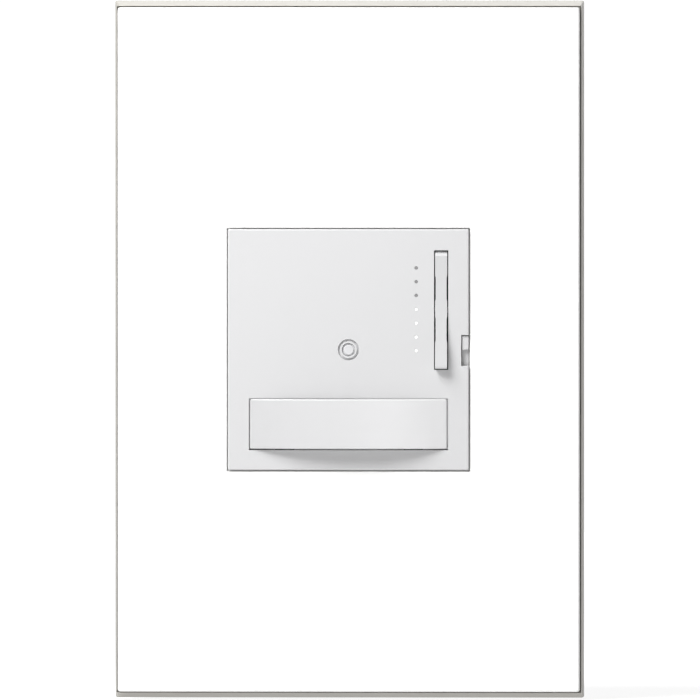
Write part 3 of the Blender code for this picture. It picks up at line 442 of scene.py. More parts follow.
PAD_HALF = 22.5 * MM
PAD_FRONT = -9.2 * MM
PAD_BACK = -7.4 * MM
BAR_X = 17.3 * MM
LENS_Z = -13.86 * MM
DOT_X = 12.65 * MM
DOT_PITCH = 2.577 * MM
dots_z = [15.27 * MM - DOT_PITCH * number for number in range(7)]
LENS_WINDOW_X = 18.58 * MM
LENS_WINDOW_Z = (LENS_Z - 4.87 * MM, LENS_Z + 4.75 * MM)
BAR_SLOT_HALF = 1.325 * MM
BAR_SLOT_Z = (-3.75 * MM, 18.55 * MM)
NOTCH_X = (21.05 * MM, 23.5 * MM)
NOTCH_Z = (-3.0 * MM, 2.76 * MM)
POCKET_FRONT = -8.75 * MM
POCKET_Z = (-6.4 * MM, -2.5 * MM)
STEM_Z = 6.0 * MM
HOOK_BACK = -4.0 * MM
TOP_HOOKS = ((-11.0 * MM, 18.9 * MM), (11.0 * MM, 18.9 * MM))
LOWER_HOOKS = ((-6.0 * MM, -20.7 * MM), (6.0 * MM, -20.7 * MM))

pad = add_box("pad_tile", (-PAD_HALF, PAD_FRONT, -PAD_HALF), (PAD_HALF, PAD_BACK, PAD_HALF))
bevel_edges(pad, 0.3 * MM, 3, upright)
bevel_edges(pad, 0.4 * MM, 4, lambda a, b: max(a.y, b.y) < PAD_FRONT + 1e-6)
before, behind = PAD_FRONT - MM, PAD_BACK + MM
boolean(pad, add_box("lens_window", (-LENS_WINDOW_X, before, LENS_WINDOW_Z[0]),
                     (LENS_WINDOW_X, behind, LENS_WINDOW_Z[1])))
boolean(pad, add_box("bar_slot", (BAR_X - BAR_SLOT_HALF, before, BAR_SLOT_Z[0]),
                     (BAR_X + BAR_SLOT_HALF, behind, BAR_SLOT_Z[1])))
# the slider's notch, and the pocket behind the pad that its skirt goes down into
boolean(pad, add_box("slider_notch", (NOTCH_X[0], before, NOTCH_Z[0]),
                     (NOTCH_X[1], behind, NOTCH_Z[1])))
boolean(pad, add_box("skirt_pocket", (NOTCH_X[0], POCKET_FRONT, POCKET_Z[0]),
                     (NOTCH_X[1], behind, POCKET_Z[1])))
boolean(pad, add_round("ring_hole", 1.95 * MM, (0.0, before, 0.0), (0.0, behind, 0.0), "Y", 64))
for z in dots_z:
    boolean(pad, add_round("dot_hole", 0.33 * MM, (DOT_X, before, z), (DOT_X, behind, z), "Y", 24))
boolean(pad, add_round("stem", 1.0 * MM, (0.0, PAD_BACK - 0.3 * MM, STEM_Z),
                       (0.0, -5.2 * MM, STEM_Z), "Y", 32), "UNION")
for hooks, half_width in ((TOP_HOOKS, 1.5 * MM), (LOWER_HOOKS, 1.2 * MM)):
    for x, z in hooks:
        boolean(pad, add_box("hook", (x - half_width, PAD_BACK - 0.3 * MM, z),
                             (x + half_width, HOOK_BACK, z + 0.7 * MM)), "UNION")
        boolean(pad, add_box("barb", (x - half_width, HOOK_BACK - 0.6 * MM, z + 0.1 * MM),
                             (x + half_width, HOOK_BACK, z + 1.4 * MM)), "UNION")
soften(pad, 0.05 * MM, 2, 50.0)
hand_over(pad, pad_white, "pad", "pad_white", "push_pad")

# ---------------------------------------------------------------------------
# Sensor lens.  A shell of milky polyethylene, bowed from side to side, that
# the motion sensor looks through.  Four legs clip it to the deck.
# ---------------------------------------------------------------------------
lens_milk, lens_shader, lens_place = new_material(
    "lens_milky", Roughness=0.30, IOR=1.51, Subsurface_Weight=0.2, Subsurface_Scale=0.0008,
    Subsurface_Radius=(1.0, 1.0, 1.0))
along_lens = lens_place.add("ShaderNodeSeparateXYZ", None, {0: lens_place})
LENS_ENDS = (-18.4 * MM, 18.4 * MM)
# painted shading: the lens's base colour runs from darker at its left end to lighter at its right,
# standing in for how the light falls across the bow
painted_shading_ramp = lens_place.add("ShaderNodeMapRange", None,
                          {0: along_lens, 1: LENS_ENDS[0], 2: LENS_ENDS[1]})
milk_with_painted_shading = blend_colours(painted_shading_ramp, (0.420, 0.420, 0.425, 1.0), (0.585, 0.585, 0.59, 1.0))
cloud = noise(lens_place, 700.0, 3.0)
link(lens_shader, "Base Color", blend_colours(cloud * 0.06, milk_with_painted_shading, (0.5, 0.5, 0.51, 1.0)))

lens_low, lens_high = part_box("sensor_lens")
lens_low.z += 0.05 * MM
lens_high.z -= 0.05 * MM
LENS_BACK = -6.5 * MM
LENS_WALL = 0.9 * MM
LENS_STEP = -8.85 * MM
LENS_LEG_X = 12.0 * MM
STEP_WALL = 0.3 * MM
SLIT = 0.02 * MM                 # keeps the faces of joined pieces apart
half_lens = lens_high.x
bow = PAD_FRONT - lens_low.y
bow_radius = (half_lens ** 2 + bow ** 2) / (2 * bow)


def bowed_block(name, half_width, front, back, low_z, high_z, radius):
    """A box whose front is rounded from side to side by a large cylinder."""
    block = add_box(name, (-half_width, front - 0.1 * MM, low_z), (half_width, back, high_z))
    centre_y = front + radius
    drum = add_round("drum", radius, (0.0, centre_y, low_z - MM), (0.0, centre_y, high_z + MM),
                     "Z", 720)
    return boolean(block, drum, "INTERSECT")


lens = bowed_block("lens_shell", half_lens, lens_low.y, LENS_BACK,
                   lens_low.z, lens_high.z, bow_radius)
soften(lens, 0.25 * MM, 4, 50.0)
boolean(lens, bowed_block("lens_inside", half_lens - LENS_WALL, lens_low.y + LENS_WALL,
                          LENS_BACK + MM, lens_low.z + LENS_WALL, lens_high.z - LENS_WALL,
                          bow_radius - LENS_WALL))
# a step round the shell, just behind the pad's surface
step_x, step_z = half_lens + 0.12 * MM, lens_high.z + 0.12 * MM
step = add_box("step", (-step_x, LENS_STEP, lens_low.z + SLIT), (step_x, LENS_BACK, step_z))
boolean(step, add_box("step_inside",
                      (-half_lens + STEP_WALL, LENS_STEP - MM, lens_low.z + STEP_WALL),
                      (half_lens - STEP_WALL, 0.0, lens_high.z - STEP_WALL)))
boolean(lens, step, "UNION")
for x in (-LENS_LEG_X, LENS_LEG_X):
    for leg_low, leg_high in ((lens_low.z + SLIT, lens_low.z + LENS_WALL - SLIT),
                              (lens_high.z - LENS_WALL + SLIT, lens_high.z - SLIT)):
        boolean(lens, add_box("leg", (x - 1.5 * MM, LENS_BACK - JOIN, leg_low),
                              (x + 1.5 * MM, lens_high.y, leg_high)), "UNION")
hand_over(lens, lens_milk, "root", "lens_milk", "sensor_lens")

# ---------------------------------------------------------------------------
# Dimmer bar.  A narrow rocker: its face is hollow, so that a finger finds the
# two ends, and its lower end stands furthest out.
# ---------------------------------------------------------------------------
bar_white = moulded("bar_white", (0.440, 0.440, 0.445), (0.430, 0.430, 0.435), 0.38,
                    0.35 * MM, 0.005 * MM, IOR=1.5)

bar_low, bar_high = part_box("dimmer_bar")
FACE_RADIUS = 75.0 * MM
FACE_LOW_Z = 12.5 * MM
BAR_BACK = -7.3 * MM
BAR_HALF = 1.125 * MM
PIVOT = (BAR_X, -4.1 * MM, 7.4 * MM)
PIN_HOLE = 0.7 * MM
HUB = 1.1 * MM
FOOT_FROM_PIVOT = 6.5 * MM
FACET = 0.85 * MM                # the sloping end of the face at the top
FACET_LEAN = math.radians(40)
SCALLOP = 0.10 * MM
SCALLOPS_Z = (3.75 * MM, 11.45 * MM)


def slice_off(obj, point, normal):
    """Cut away what lies in front of a plane, and close the cut."""
    active(obj)
    bpy.ops.object.mode_set(mode="EDIT")
    bpy.ops.mesh.select_all(action="SELECT")
    bpy.ops.mesh.bisect(plane_co=point, plane_no=normal, use_fill=True, clear_outer=True)
    bpy.ops.object.mode_set(mode="OBJECT")


bar = add_box("dimmer_bar_cap", bar_low, (bar_high.x, BAR_BACK, bar_high.z))
facet_front = PAD_FRONT - (bar_high.z - FACET - FACE_LOW_Z) ** 2 / (2 * FACE_RADIUS)
boolean(bar, add_round("finger_hollow", FACE_RADIUS,
                       (bar_low.x - MM, PAD_FRONT - FACE_RADIUS, FACE_LOW_Z),
                       (bar_high.x + MM, PAD_FRONT - FACE_RADIUS, FACE_LOW_Z), "X", 720))
slice_off(bar, (0.0, facet_front, bar_high.z - FACET),
          (0.0, -math.cos(FACET_LEAN), math.sin(FACET_LEAN)))
bevel_edges(bar, 0.25 * MM, 4,
            lambda a, b: max(a.z, b.z) < bar_low.z + 1e-6 and max(a.y, b.y) < PAD_FRONT)
# shallow scallops in the sides, either side of the pivot, with sloping ends
for side in (-1, 1):
    for z in SCALLOPS_Z:
        near = BAR_X + side * (BAR_HALF - SCALLOP)
        far = near + side * 4 * SCALLOP
        scallop = add_box("scallop", (min(near, far), bar_low.y - MM, z - 2.0 * MM),
                          (max(near, far), 0.0, z + 2.0 * MM))
        active(scallop)
        bpy.ops.object.mode_set(mode="EDIT")
        bpy.ops.mesh.select_mode(type="FACE")
        bpy.ops.mesh.select_all(action="DESELECT")
        mesh = bmesh.from_edit_mesh(scallop.data)
        for face in mesh.faces:
            face.select_set(abs(face.calc_center_median().x - far) < 1e-6)
        bmesh.update_edit_mesh(scallop.data)
        bpy.ops.transform.resize(value=(1.0, 1.0, 1.9), center_override=(far, 0.0, z))
        bpy.ops.object.mode_set(mode="OBJECT")
        boolean(bar, scallop)
inner_x = (bar_low.x + 0.1 * MM, bar_high.x - 0.1 * MM)
boolean(bar, add_box("web", (inner_x[0], BAR_BACK - 0.3 * MM, PIVOT[2] - HUB),
                     (inner_x[1], PIVOT[1], PIVOT[2] + HUB)), "UNION")
boolean(bar, add_round("hub", HUB, (inner_x[0], *PIVOT[1:]), (inner_x[1], *PIVOT[1:]),
                       "X", 32), "UNION")
for side in (-1, 1):
    z = PIVOT[2] + side * FOOT_FROM_PIVOT
    boolean(bar, add_box("foot", (BAR_X - 0.7 * MM, BAR_BACK - 0.3 * MM, z - 0.6 * MM),
                         (BAR_X + 0.7 * MM, -5.2 * MM, z + 0.6 * MM)), "UNION")
boolean(bar, add_round("pin_hole", PIN_HOLE, (bar_low.x - MM, *PIVOT[1:]),
                       (bar_high.x + MM, *PIVOT[1:]), "X", 32))
soften(bar, 0.05 * MM, 2, 50.0)
hand_over(bar, bar_white, "bar", "pad_white", "dimmer_bar")

# ---------------------------------------------------------------------------
# Status ring.  A thin bezel and a clear plug, each pressed into the pad from
# behind; the joints round them show as two fine rings.
# ---------------------------------------------------------------------------
SHOULDER = PAD_FRONT + 0.34 * MM    # floor of the two fine rings
RING_BACK = -7.05 * MM
RING_FLANGE_Y = (-7.1 * MM, -6.7 * MM)
PLUG_BACK = -6.35 * MM
PLUG_FLANGE_Y = (-6.4 * MM, -6.0 * MM)


def on_axis(name, radius, front, back):
    """Add a round primitive on the ring's axis."""
    return add_round(name, radius, (0.0, front, 0.0), (0.0, back, 0.0), "Y", 64)


ring = on_axis("status_ring", 1.6 * MM, PAD_FRONT, RING_BACK)
boolean(ring, on_axis("ring_flange", 2.4 * MM, *RING_FLANGE_Y), "UNION")
boolean(ring, on_axis("ring_shoulder", 1.92 * MM, SHOULDER, RING_BACK), "UNION")
boolean(ring, on_axis("ring_bore", 1.235 * MM, before, 0.0))
soften(ring, 0.05 * MM, 2, 40.0)
hand_over(ring, pad_white, "pad", "pad_white", "status_bezel")

plug_white = moulded("plug_white", (0.50, 0.50, 0.51), (0.485, 0.485, 0.495), 0.25,
                     0.5 * MM, 0.003 * MM, IOR=1.49, Coat_Weight=0.4)
plug = on_axis("status_plug", 0.935 * MM, PAD_FRONT, PLUG_BACK)
boolean(plug, on_axis("plug_shoulder", 1.21 * MM, SHOULDER, PLUG_BACK), "UNION")
boolean(plug, on_axis("plug_flange", 1.8 * MM, *PLUG_FLANGE_Y), "UNION")
soften(plug, 0.06 * MM, 3, 40.0)
hand_over(plug, plug_white, "pad", "light_pipe", "status_lens")

# ---------------------------------------------------------------------------
# Level dots.  One comb of clear acrylic with seven pins; the lowest four are
# lit, so each pin's face is either bright or grey.
# ---------------------------------------------------------------------------
FIRST_LIT = 3
dot_lit, lit_shader, lit_place = new_material("dot_lit", Roughness=0.3, Emission_Strength=0.08)
glow = noise(lit_place, 3000.0)
for socket, bright, dim in (("Base Color", 0.74, 0.70), ("Emission Color", 1.0, 0.94)):
    link(lit_shader, socket,
         blend_colours(glow, (bright, bright, bright, 1.0), (dim, dim, dim, 1.0)))
dot_dark = moulded("dot_dark", (0.21, 0.21, 0.21), (0.19, 0.19, 0.19), 0.25, 0.4 * MM, 0.002 * MM)

GUIDE_FRONT = PAD_BACK + 0.3 * MM
guide_low, guide_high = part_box("light_guide")
comb = add_box("light_comb", (guide_low.x, GUIDE_FRONT, guide_low.z), guide_high)
bevel_edges(comb, 0.3 * MM, 3, upright)
for z in dots_z:
    boolean(comb, add_round("pin", 0.3 * MM, (DOT_X, PAD_FRONT, z),
                            (DOT_X, GUIDE_FRONT + 0.2 * MM, z), "Y", 24), "UNION")
hand_over(comb, dot_dark, "pad", "light_pipe", "light_guide")
comb.data.materials.append(dot_lit)
lit_above = dots_z[FIRST_LIT] + 0.5 * MM
for face in comb.data.polygons:
    if face.center.y < PAD_BACK and face.center.z < lit_above:
        face.material_index = 1

# ---------------------------------------------------------------------------
# Air-gap slider.  A small tab at the pad's edge; pulled down, it opens the
# contacts inside.
# ---------------------------------------------------------------------------
TAB_FRONT = -8.9 * MM
slider = add_box("slider_tab", (21.18 * MM, TAB_FRONT, 0.0), (22.45 * MM, -6.0 * MM, 2.62 * MM))
bevel_edges(slider, 0.15 * MM, 3, lambda a, b: max(a.y, b.y) < TAB_FRONT + 0.01 * MM)
for part, low, high in (("skirt", (21.2, -8.1, -3.5), (22.43, -6.1, 0.3)),
                        ("plate", (21.3, -6.2, -8.0), (22.1, -3.7, 2.35)),
                        ("arm", (18.4, -4.7, -8.0), (21.95, -3.8, -6.0)),
                        ("leg", (18.4, -4.7, -7.9), (19.6, 4.5, -6.1))):
    boolean(slider, add_box(part, Vector(low) * MM, Vector(high) * MM), "UNION")
soften(slider, 0.05 * MM, 2, 60.0)
hand_over(slider, pad_white, "air_gap", "pad_white", "air_gap_slider")

# ---------------------------------------------------------------------------
# Mounting strap.  Zinc-plated steel, blanked from sheet: a window for the
# module, slots for the wall box's screws, and ears scored to snap off.
# ---------------------------------------------------------------------------
def metal(name, colour, shade, roughness):
    """A worn metal: two tones of one colour and fine hairlines along Z."""
    material, shader, place = new_material(name, Metallic=1.0)
    drift = noise(place, 160.0, 4.0, 0.6)
    stretched = place.add("ShaderNodeMapping", None, {0: place, 3: (9000.0, 9000.0, 260.0)})
    hairline = stretched.add("ShaderNodeTexNoise", None, {"Vector": stretched, "Scale": 1.0})
    link(shader, "Base Color", blend_colours(drift, (*colour, 1.0), (*shade, 1.0)))
    link(shader, "Roughness", (drift - 0.5) * 0.22 + (hairline - 0.5) * 0.15 + roughness)
    link(shader, "Normal", hairline.add("ShaderNodeBump", None, {
        "Strength": 0.5, "Distance": 0.003 * MM, "Height": hairline}))
    return material


steel = metal("plated_steel", (0.66, 0.66, 0.645), (0.57, 0.565, 0.55), 0.36)

STRAP_Y = (-1.2 * MM, 0.0)
STRAP = (22.5 * MM, 36.0 * MM)
EARS = (16.0 * MM, 53.0 * MM)
STRAP_WINDOW = (20.0 * MM, 22.6 * MM)
BOX_SCREW_Z = 41.65 * MM
BOX_SLOT_HALF = 2.1 * MM
HOUSING_SCREW = (16.0 * MM, 28.8 * MM)
GROUND_SCREW = (-11.5 * MM, -38.5 * MM)
SCORE_X, SCORE_Z = 13.2 * MM, (36.9 * MM, 52.8 * MM)
NIB = (14.6 * MM, 45.0 * MM)
through = (-3.0 * MM, 2.0 * MM)     # from before the sheet to behind it


def strap_hole(name, radius, x, z):
    boolean(strap, add_round(name, radius, (x, through[0], z), (x, through[1], z)))


strap = add_box("strap_blank", (-STRAP[0], STRAP_Y[0], -STRAP[1]), (STRAP[0], STRAP_Y[1], STRAP[1]))
bevel_edges(strap, 2.0 * MM, 6, upright)
ears = add_box("strap_ears", (-EARS[0], STRAP_Y[0], -EARS[1]), (EARS[0], STRAP_Y[1], EARS[1]))
bevel_edges(ears, 5.0 * MM, 10, upright)
boolean(strap, ears, "UNION")
boolean(strap, add_box("strap_window", (-STRAP_WINDOW[0], through[0], -STRAP_WINDOW[1]),
                       (STRAP_WINDOW[0], through[1], STRAP_WINDOW[1])))
for side in (-1, 1):
    strap_hole("plate_hole", 1.8 * MM, 0.0, side * PLATE_SCREW_Z)
    z = side * BOX_SCREW_Z
    slot = add_box("box_slot", (-4.0 * MM, through[0], z - BOX_SLOT_HALF),
                   (4.0 * MM, through[1], z + BOX_SLOT_HALF))
    bevel_edges(slot, BOX_SLOT_HALF - 0.01 * MM, 8, upright)
    boolean(strap, slot)
    for other in (-1, 1):
        strap_hole("housing_hole", 1.6 * MM, side * HOUSING_SCREW[0], other * HOUSING_SCREW[1])
        # scores where an ear snaps off, and a dimple that centres it on the wall
        x, z = side * SCORE_X, span(other, *SCORE_Z)
        boolean(strap, add_box("score", (x - 0.2 * MM, -0.22 * MM, z[0]),
                               (x + 0.2 * MM, MM, z[1])))
        x, z = side * NIB[0], other * NIB[1]
        boolean(strap, add_round("nib", 0.8 * MM, (x, -0.25 * MM, z), (x, MM, z), "Y", 24))
strap_hole("ground_hole", 1.8 * MM, *GROUND_SCREW)
soften(strap, 0.12 * MM, 2, 50.0)
hand_over(strap, steel, "root", "steel", "mounting_strap")

# ---------------------------------------------------------------------------
# Screws.  Slotted machine screws with a rolled thread; one green screw for
# the ground wire.
# ---------------------------------------------------------------------------
green_steel = metal("green_steel", (0.07, 0.40, 0.17), (0.05, 0.32, 0.13), 0.38)
HALF_SLOT = 0.5 * MM


def wind(obj, pitch, turns, steps):
    """Wind a profile round the Y axis with a Screw modifier, and close its two ends."""
    modifier = obj.modifiers.new("wind", "SCREW")
    modifier.axis = "Y"
    modifier.screw_offset = pitch
    modifier.iterations = turns
    modifier.steps = steps
    modifier.render_steps = steps
    active(obj)
    bpy.ops.object.modifier_apply(modifier=modifier.name)
    bpy.ops.object.mode_set(mode="EDIT")
    bpy.ops.mesh.select_all(action="SELECT")
    bpy.ops.mesh.fill_holes(sides=0)
    bpy.ops.mesh.normals_make_consistent(inside=False)
    bpy.ops.object.mode_set(mode="OBJECT")
    return obj


def thread(radius, depth, pitch, start, end):
    """Wind a V-shaped ridge round the Y axis."""
    bpy.ops.object.select_all(action="DESELECT")
    bpy.ops.mesh.primitive_circle_add(vertices=3, radius=1.0, rotation=(0.0, 0.0, -math.pi / 2))
    ridge = bpy.context.object
    ridge.name = "ridge"
    settle(ridge)
    # the triangle's point is at 1 and its base at -1/2; its base ends up inside the core
    ridge.scale = (depth / 1.5, pitch / math.sqrt(3.0), 1.0)
    ridge.location = (radius - depth / 1.5, start, 0.0)
    settle(ridge)
    return wind(ridge, pitch, int((end - start) / pitch), 20)


def machine_screw(name, head, shank):
    """Model a slotted screw on the Y axis: head is (radius, front, back), shank (radius, tip)."""
    radius, front, back = head
    body = add_round(name, radius, (0.0, front, 0.0), (0.0, back, 0.0))
    bevel_edges(body, 0.42 * (back - front), 5, lambda a, b: max(a.y, b.y) < front + 1e-6)
    boolean(body, add_box("slot", (-2 * radius, front - MM, -HALF_SLOT),
                          (2 * radius, front + 0.7 * MM, HALF_SLOT)))
    soften(body, 0.06 * MM, 2, 50.0)
    shank_radius, tip = shank
    depth = 0.24 * shank_radius
    core = add_round("core", shank_radius - 0.95 * depth, (0.0, back - 0.2 * MM, 0.0),
                     (0.0, tip, 0.0), "Y", 24)
    bevel_edges(core, 0.5 * MM, 2, lambda a, b: min(a.y, b.y) > tip - 1e-6)
    ridge = thread(shank_radius, depth, 0.52 * shank_radius, back + 0.3 * MM, tip - 0.9 * MM)
    active(body)
    core.select_set(True)
    ridge.select_set(True)
    bpy.ops.object.join()
    body.name = name
    return body


def place_copy(source, name, move, turn=0.0):
    """Copy a piece with its own mesh, turn it about Y and move it."""
    copy = source.copy()
    copy.data = source.data.copy()
    copy.name = name
    scene.collection.objects.link(copy)
    copy.rotation_euler = (0.0, turn, 0.0)
    copy.location = move
    settle(copy)
    return copy


SEAT = -1.5 * MM
HOUSING_X, HOUSING_Z = HOUSING_SCREW
screw_kinds = (
    ("box_screw", (3.4 * MM, SEAT - 1.6 * MM, SEAT), (1.7 * MM, 22.0 * MM), steel, "steel",
     {"_top": (0.0, BOX_SCREW_Z, 0.35), "_bottom": (0.0, -BOX_SCREW_Z, 1.1)}),
    ("plate_screw", (3.3 * MM, -5.7 * MM, -4.1 * MM), (1.5 * MM, 3.0 * MM), steel, "steel",
     {"_top": (0.0, PLATE_SCREW_Z, 0.9), "_bottom": (0.0, -PLATE_SCREW_Z, 0.2)}),
    ("ground_screw", (3.2 * MM, SEAT - 2.0 * MM, SEAT), (1.5 * MM, 6.0 * MM), green_steel,
     "ground_green", {"": (*GROUND_SCREW, 0.6)}),
    ("housing_screw", (2.2 * MM, SEAT - 1.4 * MM, SEAT), (1.2 * MM, 8.0 * MM), steel, "steel",
     {"_1": (HOUSING_X, HOUSING_Z, 0.2), "_2": (-HOUSING_X, HOUSING_Z, 1.3),
      "_3": (-HOUSING_X, -HOUSING_Z, 0.8), "_4": (HOUSING_X, -HOUSING_Z, 1.9)}),
)
for kind, head, shank, finish, slot_name, places in screw_kinds:
    pattern = machine_screw(kind + "_pattern", head, shank)
    for suffix, (x, z, turn) in places.items():
        node = kind + suffix
        fitted = place_copy(pattern, node + "_threaded", (x, 0.0, z), turn)
        hand_over(fitted, finish, "root", slot_name, node)
    bpy.data.objects.remove(pattern)

# ---------------------------------------------------------------------------
# Return springs.  Two coils of spring wire push the pad back out.  They stand
# at the height they have when it is pressed, so that they stay clear of it.
# ---------------------------------------------------------------------------
SPRING_X, SPRING_Z = 16.5 * MM, -20.0 * MM
SPRING_COIL = 0.75 * MM
SPRING_WIRE = 0.14 * MM
SPRING_Y = (-6.35 * MM, -3.15 * MM)
SPRING_TURNS = 5
bpy.ops.object.select_all(action="DESELECT")
bpy.ops.mesh.primitive_circle_add(vertices=10, radius=SPRING_WIRE,
                                  location=(SPRING_COIL, SPRING_Y[0], 0.0))
spring = bpy.context.object
spring.name = "spring_pattern"
settle(spring)
wind(spring, (SPRING_Y[1] - SPRING_Y[0]) / SPRING_TURNS, SPRING_TURNS, 24)
for name, side in (("left", -1), ("right", 1)):
    coil = place_copy(spring, f"return_spring_{name}", (side * SPRING_X, 0.0, SPRING_Z))
    hand_over(coil, steel, "root", "steel", f"pad_spring_{name}")
bpy.data.objects.remove(spring)

# ---------------------------------------------------------------------------
# Rear housing.  One black moulding, drawn from the front: a wide part behind
# the strap, and a narrower one that leaves room for the terminals.
# ---------------------------------------------------------------------------
housing_black = moulded("housing_black", (0.030, 0.031, 0.033), (0.024, 0.025, 0.026), 0.52,
                        0.30 * MM, 0.014 * MM, IOR=1.5)

HOUSING_TOP = 33.0 * MM
STEP_Y = 10.8 * MM
WIDE, NARROW = 21.5 * MM, 19.5 * MM
REAR = 33.0 * MM
SHELL = 1.6 * MM
terminal_places = {"line": (1, 12.0 * MM), "load": (1, -12.0 * MM), "traveller": (-1, 0.0)}
TERMINAL_Y = 20.0 * MM
BARRIER_BACK = 29.0 * MM
LABEL_BED = REAR - 0.25 * MM
FLUTE_PITCH = 3.6 * MM
PARTING = 0.25 * MM              # depth of the parting groove
SHOULDER_Y = 9.2 * MM

housing = add_box("housing_wide", (-WIDE, 0.3 * MM, -HOUSING_TOP), (WIDE, STEP_Y, HOUSING_TOP))
bevel_edges(housing, 2.0 * MM, 6, upright)
narrow = add_box("housing_narrow", (-NARROW, STEP_Y - 0.5 * MM, -HOUSING_TOP),
                 (NARROW, REAR, HOUSING_TOP))
bevel_edges(narrow, 2.0 * MM, 6, upright)
bevel_edges(narrow, 1.0 * MM, 4, lambda a, b: min(a.y, b.y) > REAR - 1e-6)
boolean(housing, narrow, "UNION")
# ribs that keep the wires under each terminal's clamp apart
for side, z in terminal_places.values():
    for offset in (-5.6 * MM, 5.6 * MM):
        x = span(side, NARROW - JOIN, WIDE - 0.1 * MM)
        barrier = add_box("barrier", (x[0], STEP_Y - JOIN, z + offset - 0.5 * MM),
                          (x[1], BARRIER_BACK, z + offset + 0.5 * MM))
        bevel_edges(barrier, 0.9 * MM, 4, lambda a, b: min(a.y, b.y) > BARRIER_BACK - 1e-6
                    and abs(a.x - b.x) < 1e-6 and abs(side * a.x) > WIDE - 0.2 * MM)
        boolean(housing, barrier, "UNION")
    x = span(side, NARROW - 3.0 * MM, NARROW + MM)
    boolean(housing, add_round("screw_way", 2.0 * MM, (x[0], TERMINAL_Y, z), (x[1], TERMINAL_Y, z),
                               "X", 32))
# a sunk bed for the rating label, a strip gauge, five ejector marks and a parting groove
bed = add_box("label_field", (-13.5 * MM, LABEL_BED, -8.0 * MM), (13.5 * MM, REAR + MM, 22.0 * MM))
bevel_edges(bed, 1.2 * MM, 4, upright)
boolean(housing, bed)
label = add_box("blank_label", (-12.6 * MM, LABEL_BED, -7.1 * MM),
                (12.6 * MM, LABEL_BED + 0.08 * MM, 21.1 * MM))
bevel_edges(label, 1.0 * MM, 4, upright)
gauge = add_box("strip_gauge", (-6.5 * MM, REAR - 0.5 * MM, -16.5 * MM),
                (6.5 * MM, REAR + MM, -14.5 * MM))
bevel_edges(gauge, 0.9 * MM, 5, upright)
boolean(housing, gauge)
for x, z in ((-14.0, -27.0), (0.0, -27.0), (14.0, -27.0), (-14.0, 27.5), (14.0, 27.5)):
    boolean(housing, add_round("ejector_mark", 1.7 * MM, (x * MM, REAR - 0.15 * MM, z * MM),
                               (x * MM, REAR + MM, z * MM), "Y", 32))
parting = add_box("parting", (-WIDE - MM, 3.0 * MM, -HOUSING_TOP - MM),
                  (WIDE + MM, 3.35 * MM, HOUSING_TOP + MM))
parting_core = add_box("parting_core", (-WIDE + PARTING, 2.0 * MM, -HOUSING_TOP + PARTING),
                       (WIDE - PARTING, 4.0 * MM, HOUSING_TOP - PARTING))
bevel_edges(parting_core, 1.75 * MM, 6, upright)
boolean(parting, parting_core)
boolean(housing, parting)
for side in (-1, 1):
    z = span(side, HOUSING_TOP - 0.5 * MM, HOUSING_TOP + MM)
    for number in range(-4, 5):
        x = number * FLUTE_PITCH
        boolean(housing, add_box("cooling_flute", (x - 0.7 * MM, 14.0 * MM, z[0]),
                                 (x + 0.7 * MM, 29.0 * MM, z[1])))
inner_z = HOUSING_TOP - SHELL
boolean(housing, add_box("wide_room", (-WIDE + SHELL, -MM, -inner_z),
                         (WIDE - SHELL, SHOULDER_Y, inner_z)))
boolean(housing, add_box("narrow_room", (-NARROW + SHELL, SHOULDER_Y - JOIN, -inner_z),
                         (NARROW - SHELL, REAR - SHELL, inner_z)))
for side in (-1, 1):
    for level in (-1, 1):
        x, z = span(side, 13.3 * MM, 20.2 * MM), span(level, 26.3 * MM, 31.8 * MM)
        boolean(housing, add_box("screw_post", (x[0], 0.3 * MM, z[0]),
                                 (x[1], SHOULDER_Y + JOIN, z[1])), "UNION")
        x, z = side * HOUSING_SCREW[0], level * HOUSING_SCREW[1]
        boolean(housing, add_round("screw_bore", 1.5 * MM, (x, -MM, z), (x, 8.6 * MM, z), "Y", 24))
soften(housing, 0.12 * MM, 2, 50.0)
hand_over(housing, housing_black, "root", "housing_black", "rear_housing")

# the label is matt silver film with a ruled border and a few ruled lines, all blank
label_film, label_shader, label_place = new_material("label_film", Metallic=0.25)
across = label_place.add("ShaderNodeSeparateXYZ", None, {0: label_place})
up = label_place.add("ShaderNodeSeparateXYZ", None, {0: label_place}, 2)


def stripe(signal, low, high):
    """Return 1 where a signal lies between two values."""
    return signal.math("GREATER_THAN", signal, low) * signal.math("LESS_THAN", signal, high)


RULE = 0.18 * MM
framed = stripe(across, -11.6 * MM, 11.6 * MM) * stripe(up, -6.1 * MM, 20.1 * MM)
blank = stripe(across, -11.35 * MM, 11.35 * MM) * stripe(up, -5.85 * MM, 19.85 * MM)
ruled = framed - blank
for height in (14.0 * MM, 9.0 * MM, 4.0 * MM, -1.0 * MM):
    ruled = ruled + stripe(up, height, height + RULE) * blank
link(label_shader, "Base Color",
     blend_colours(ruled, (0.62, 0.62, 0.61, 1.0), (0.08, 0.08, 0.08, 1.0)))
film = noise(label_place, 900.0, 3.0)
link(label_shader, "Roughness", film * 0.12 + 0.36)
hand_over(label, label_film, "root", "housing_black")

# ---------------------------------------------------------------------------
# Terminals.  Three brass screws, each over a square brass clamp with ridges
# that grip the wire.
# ---------------------------------------------------------------------------
brass = metal("brass", (0.80, 0.61, 0.30), (0.70, 0.52, 0.24), 0.30)

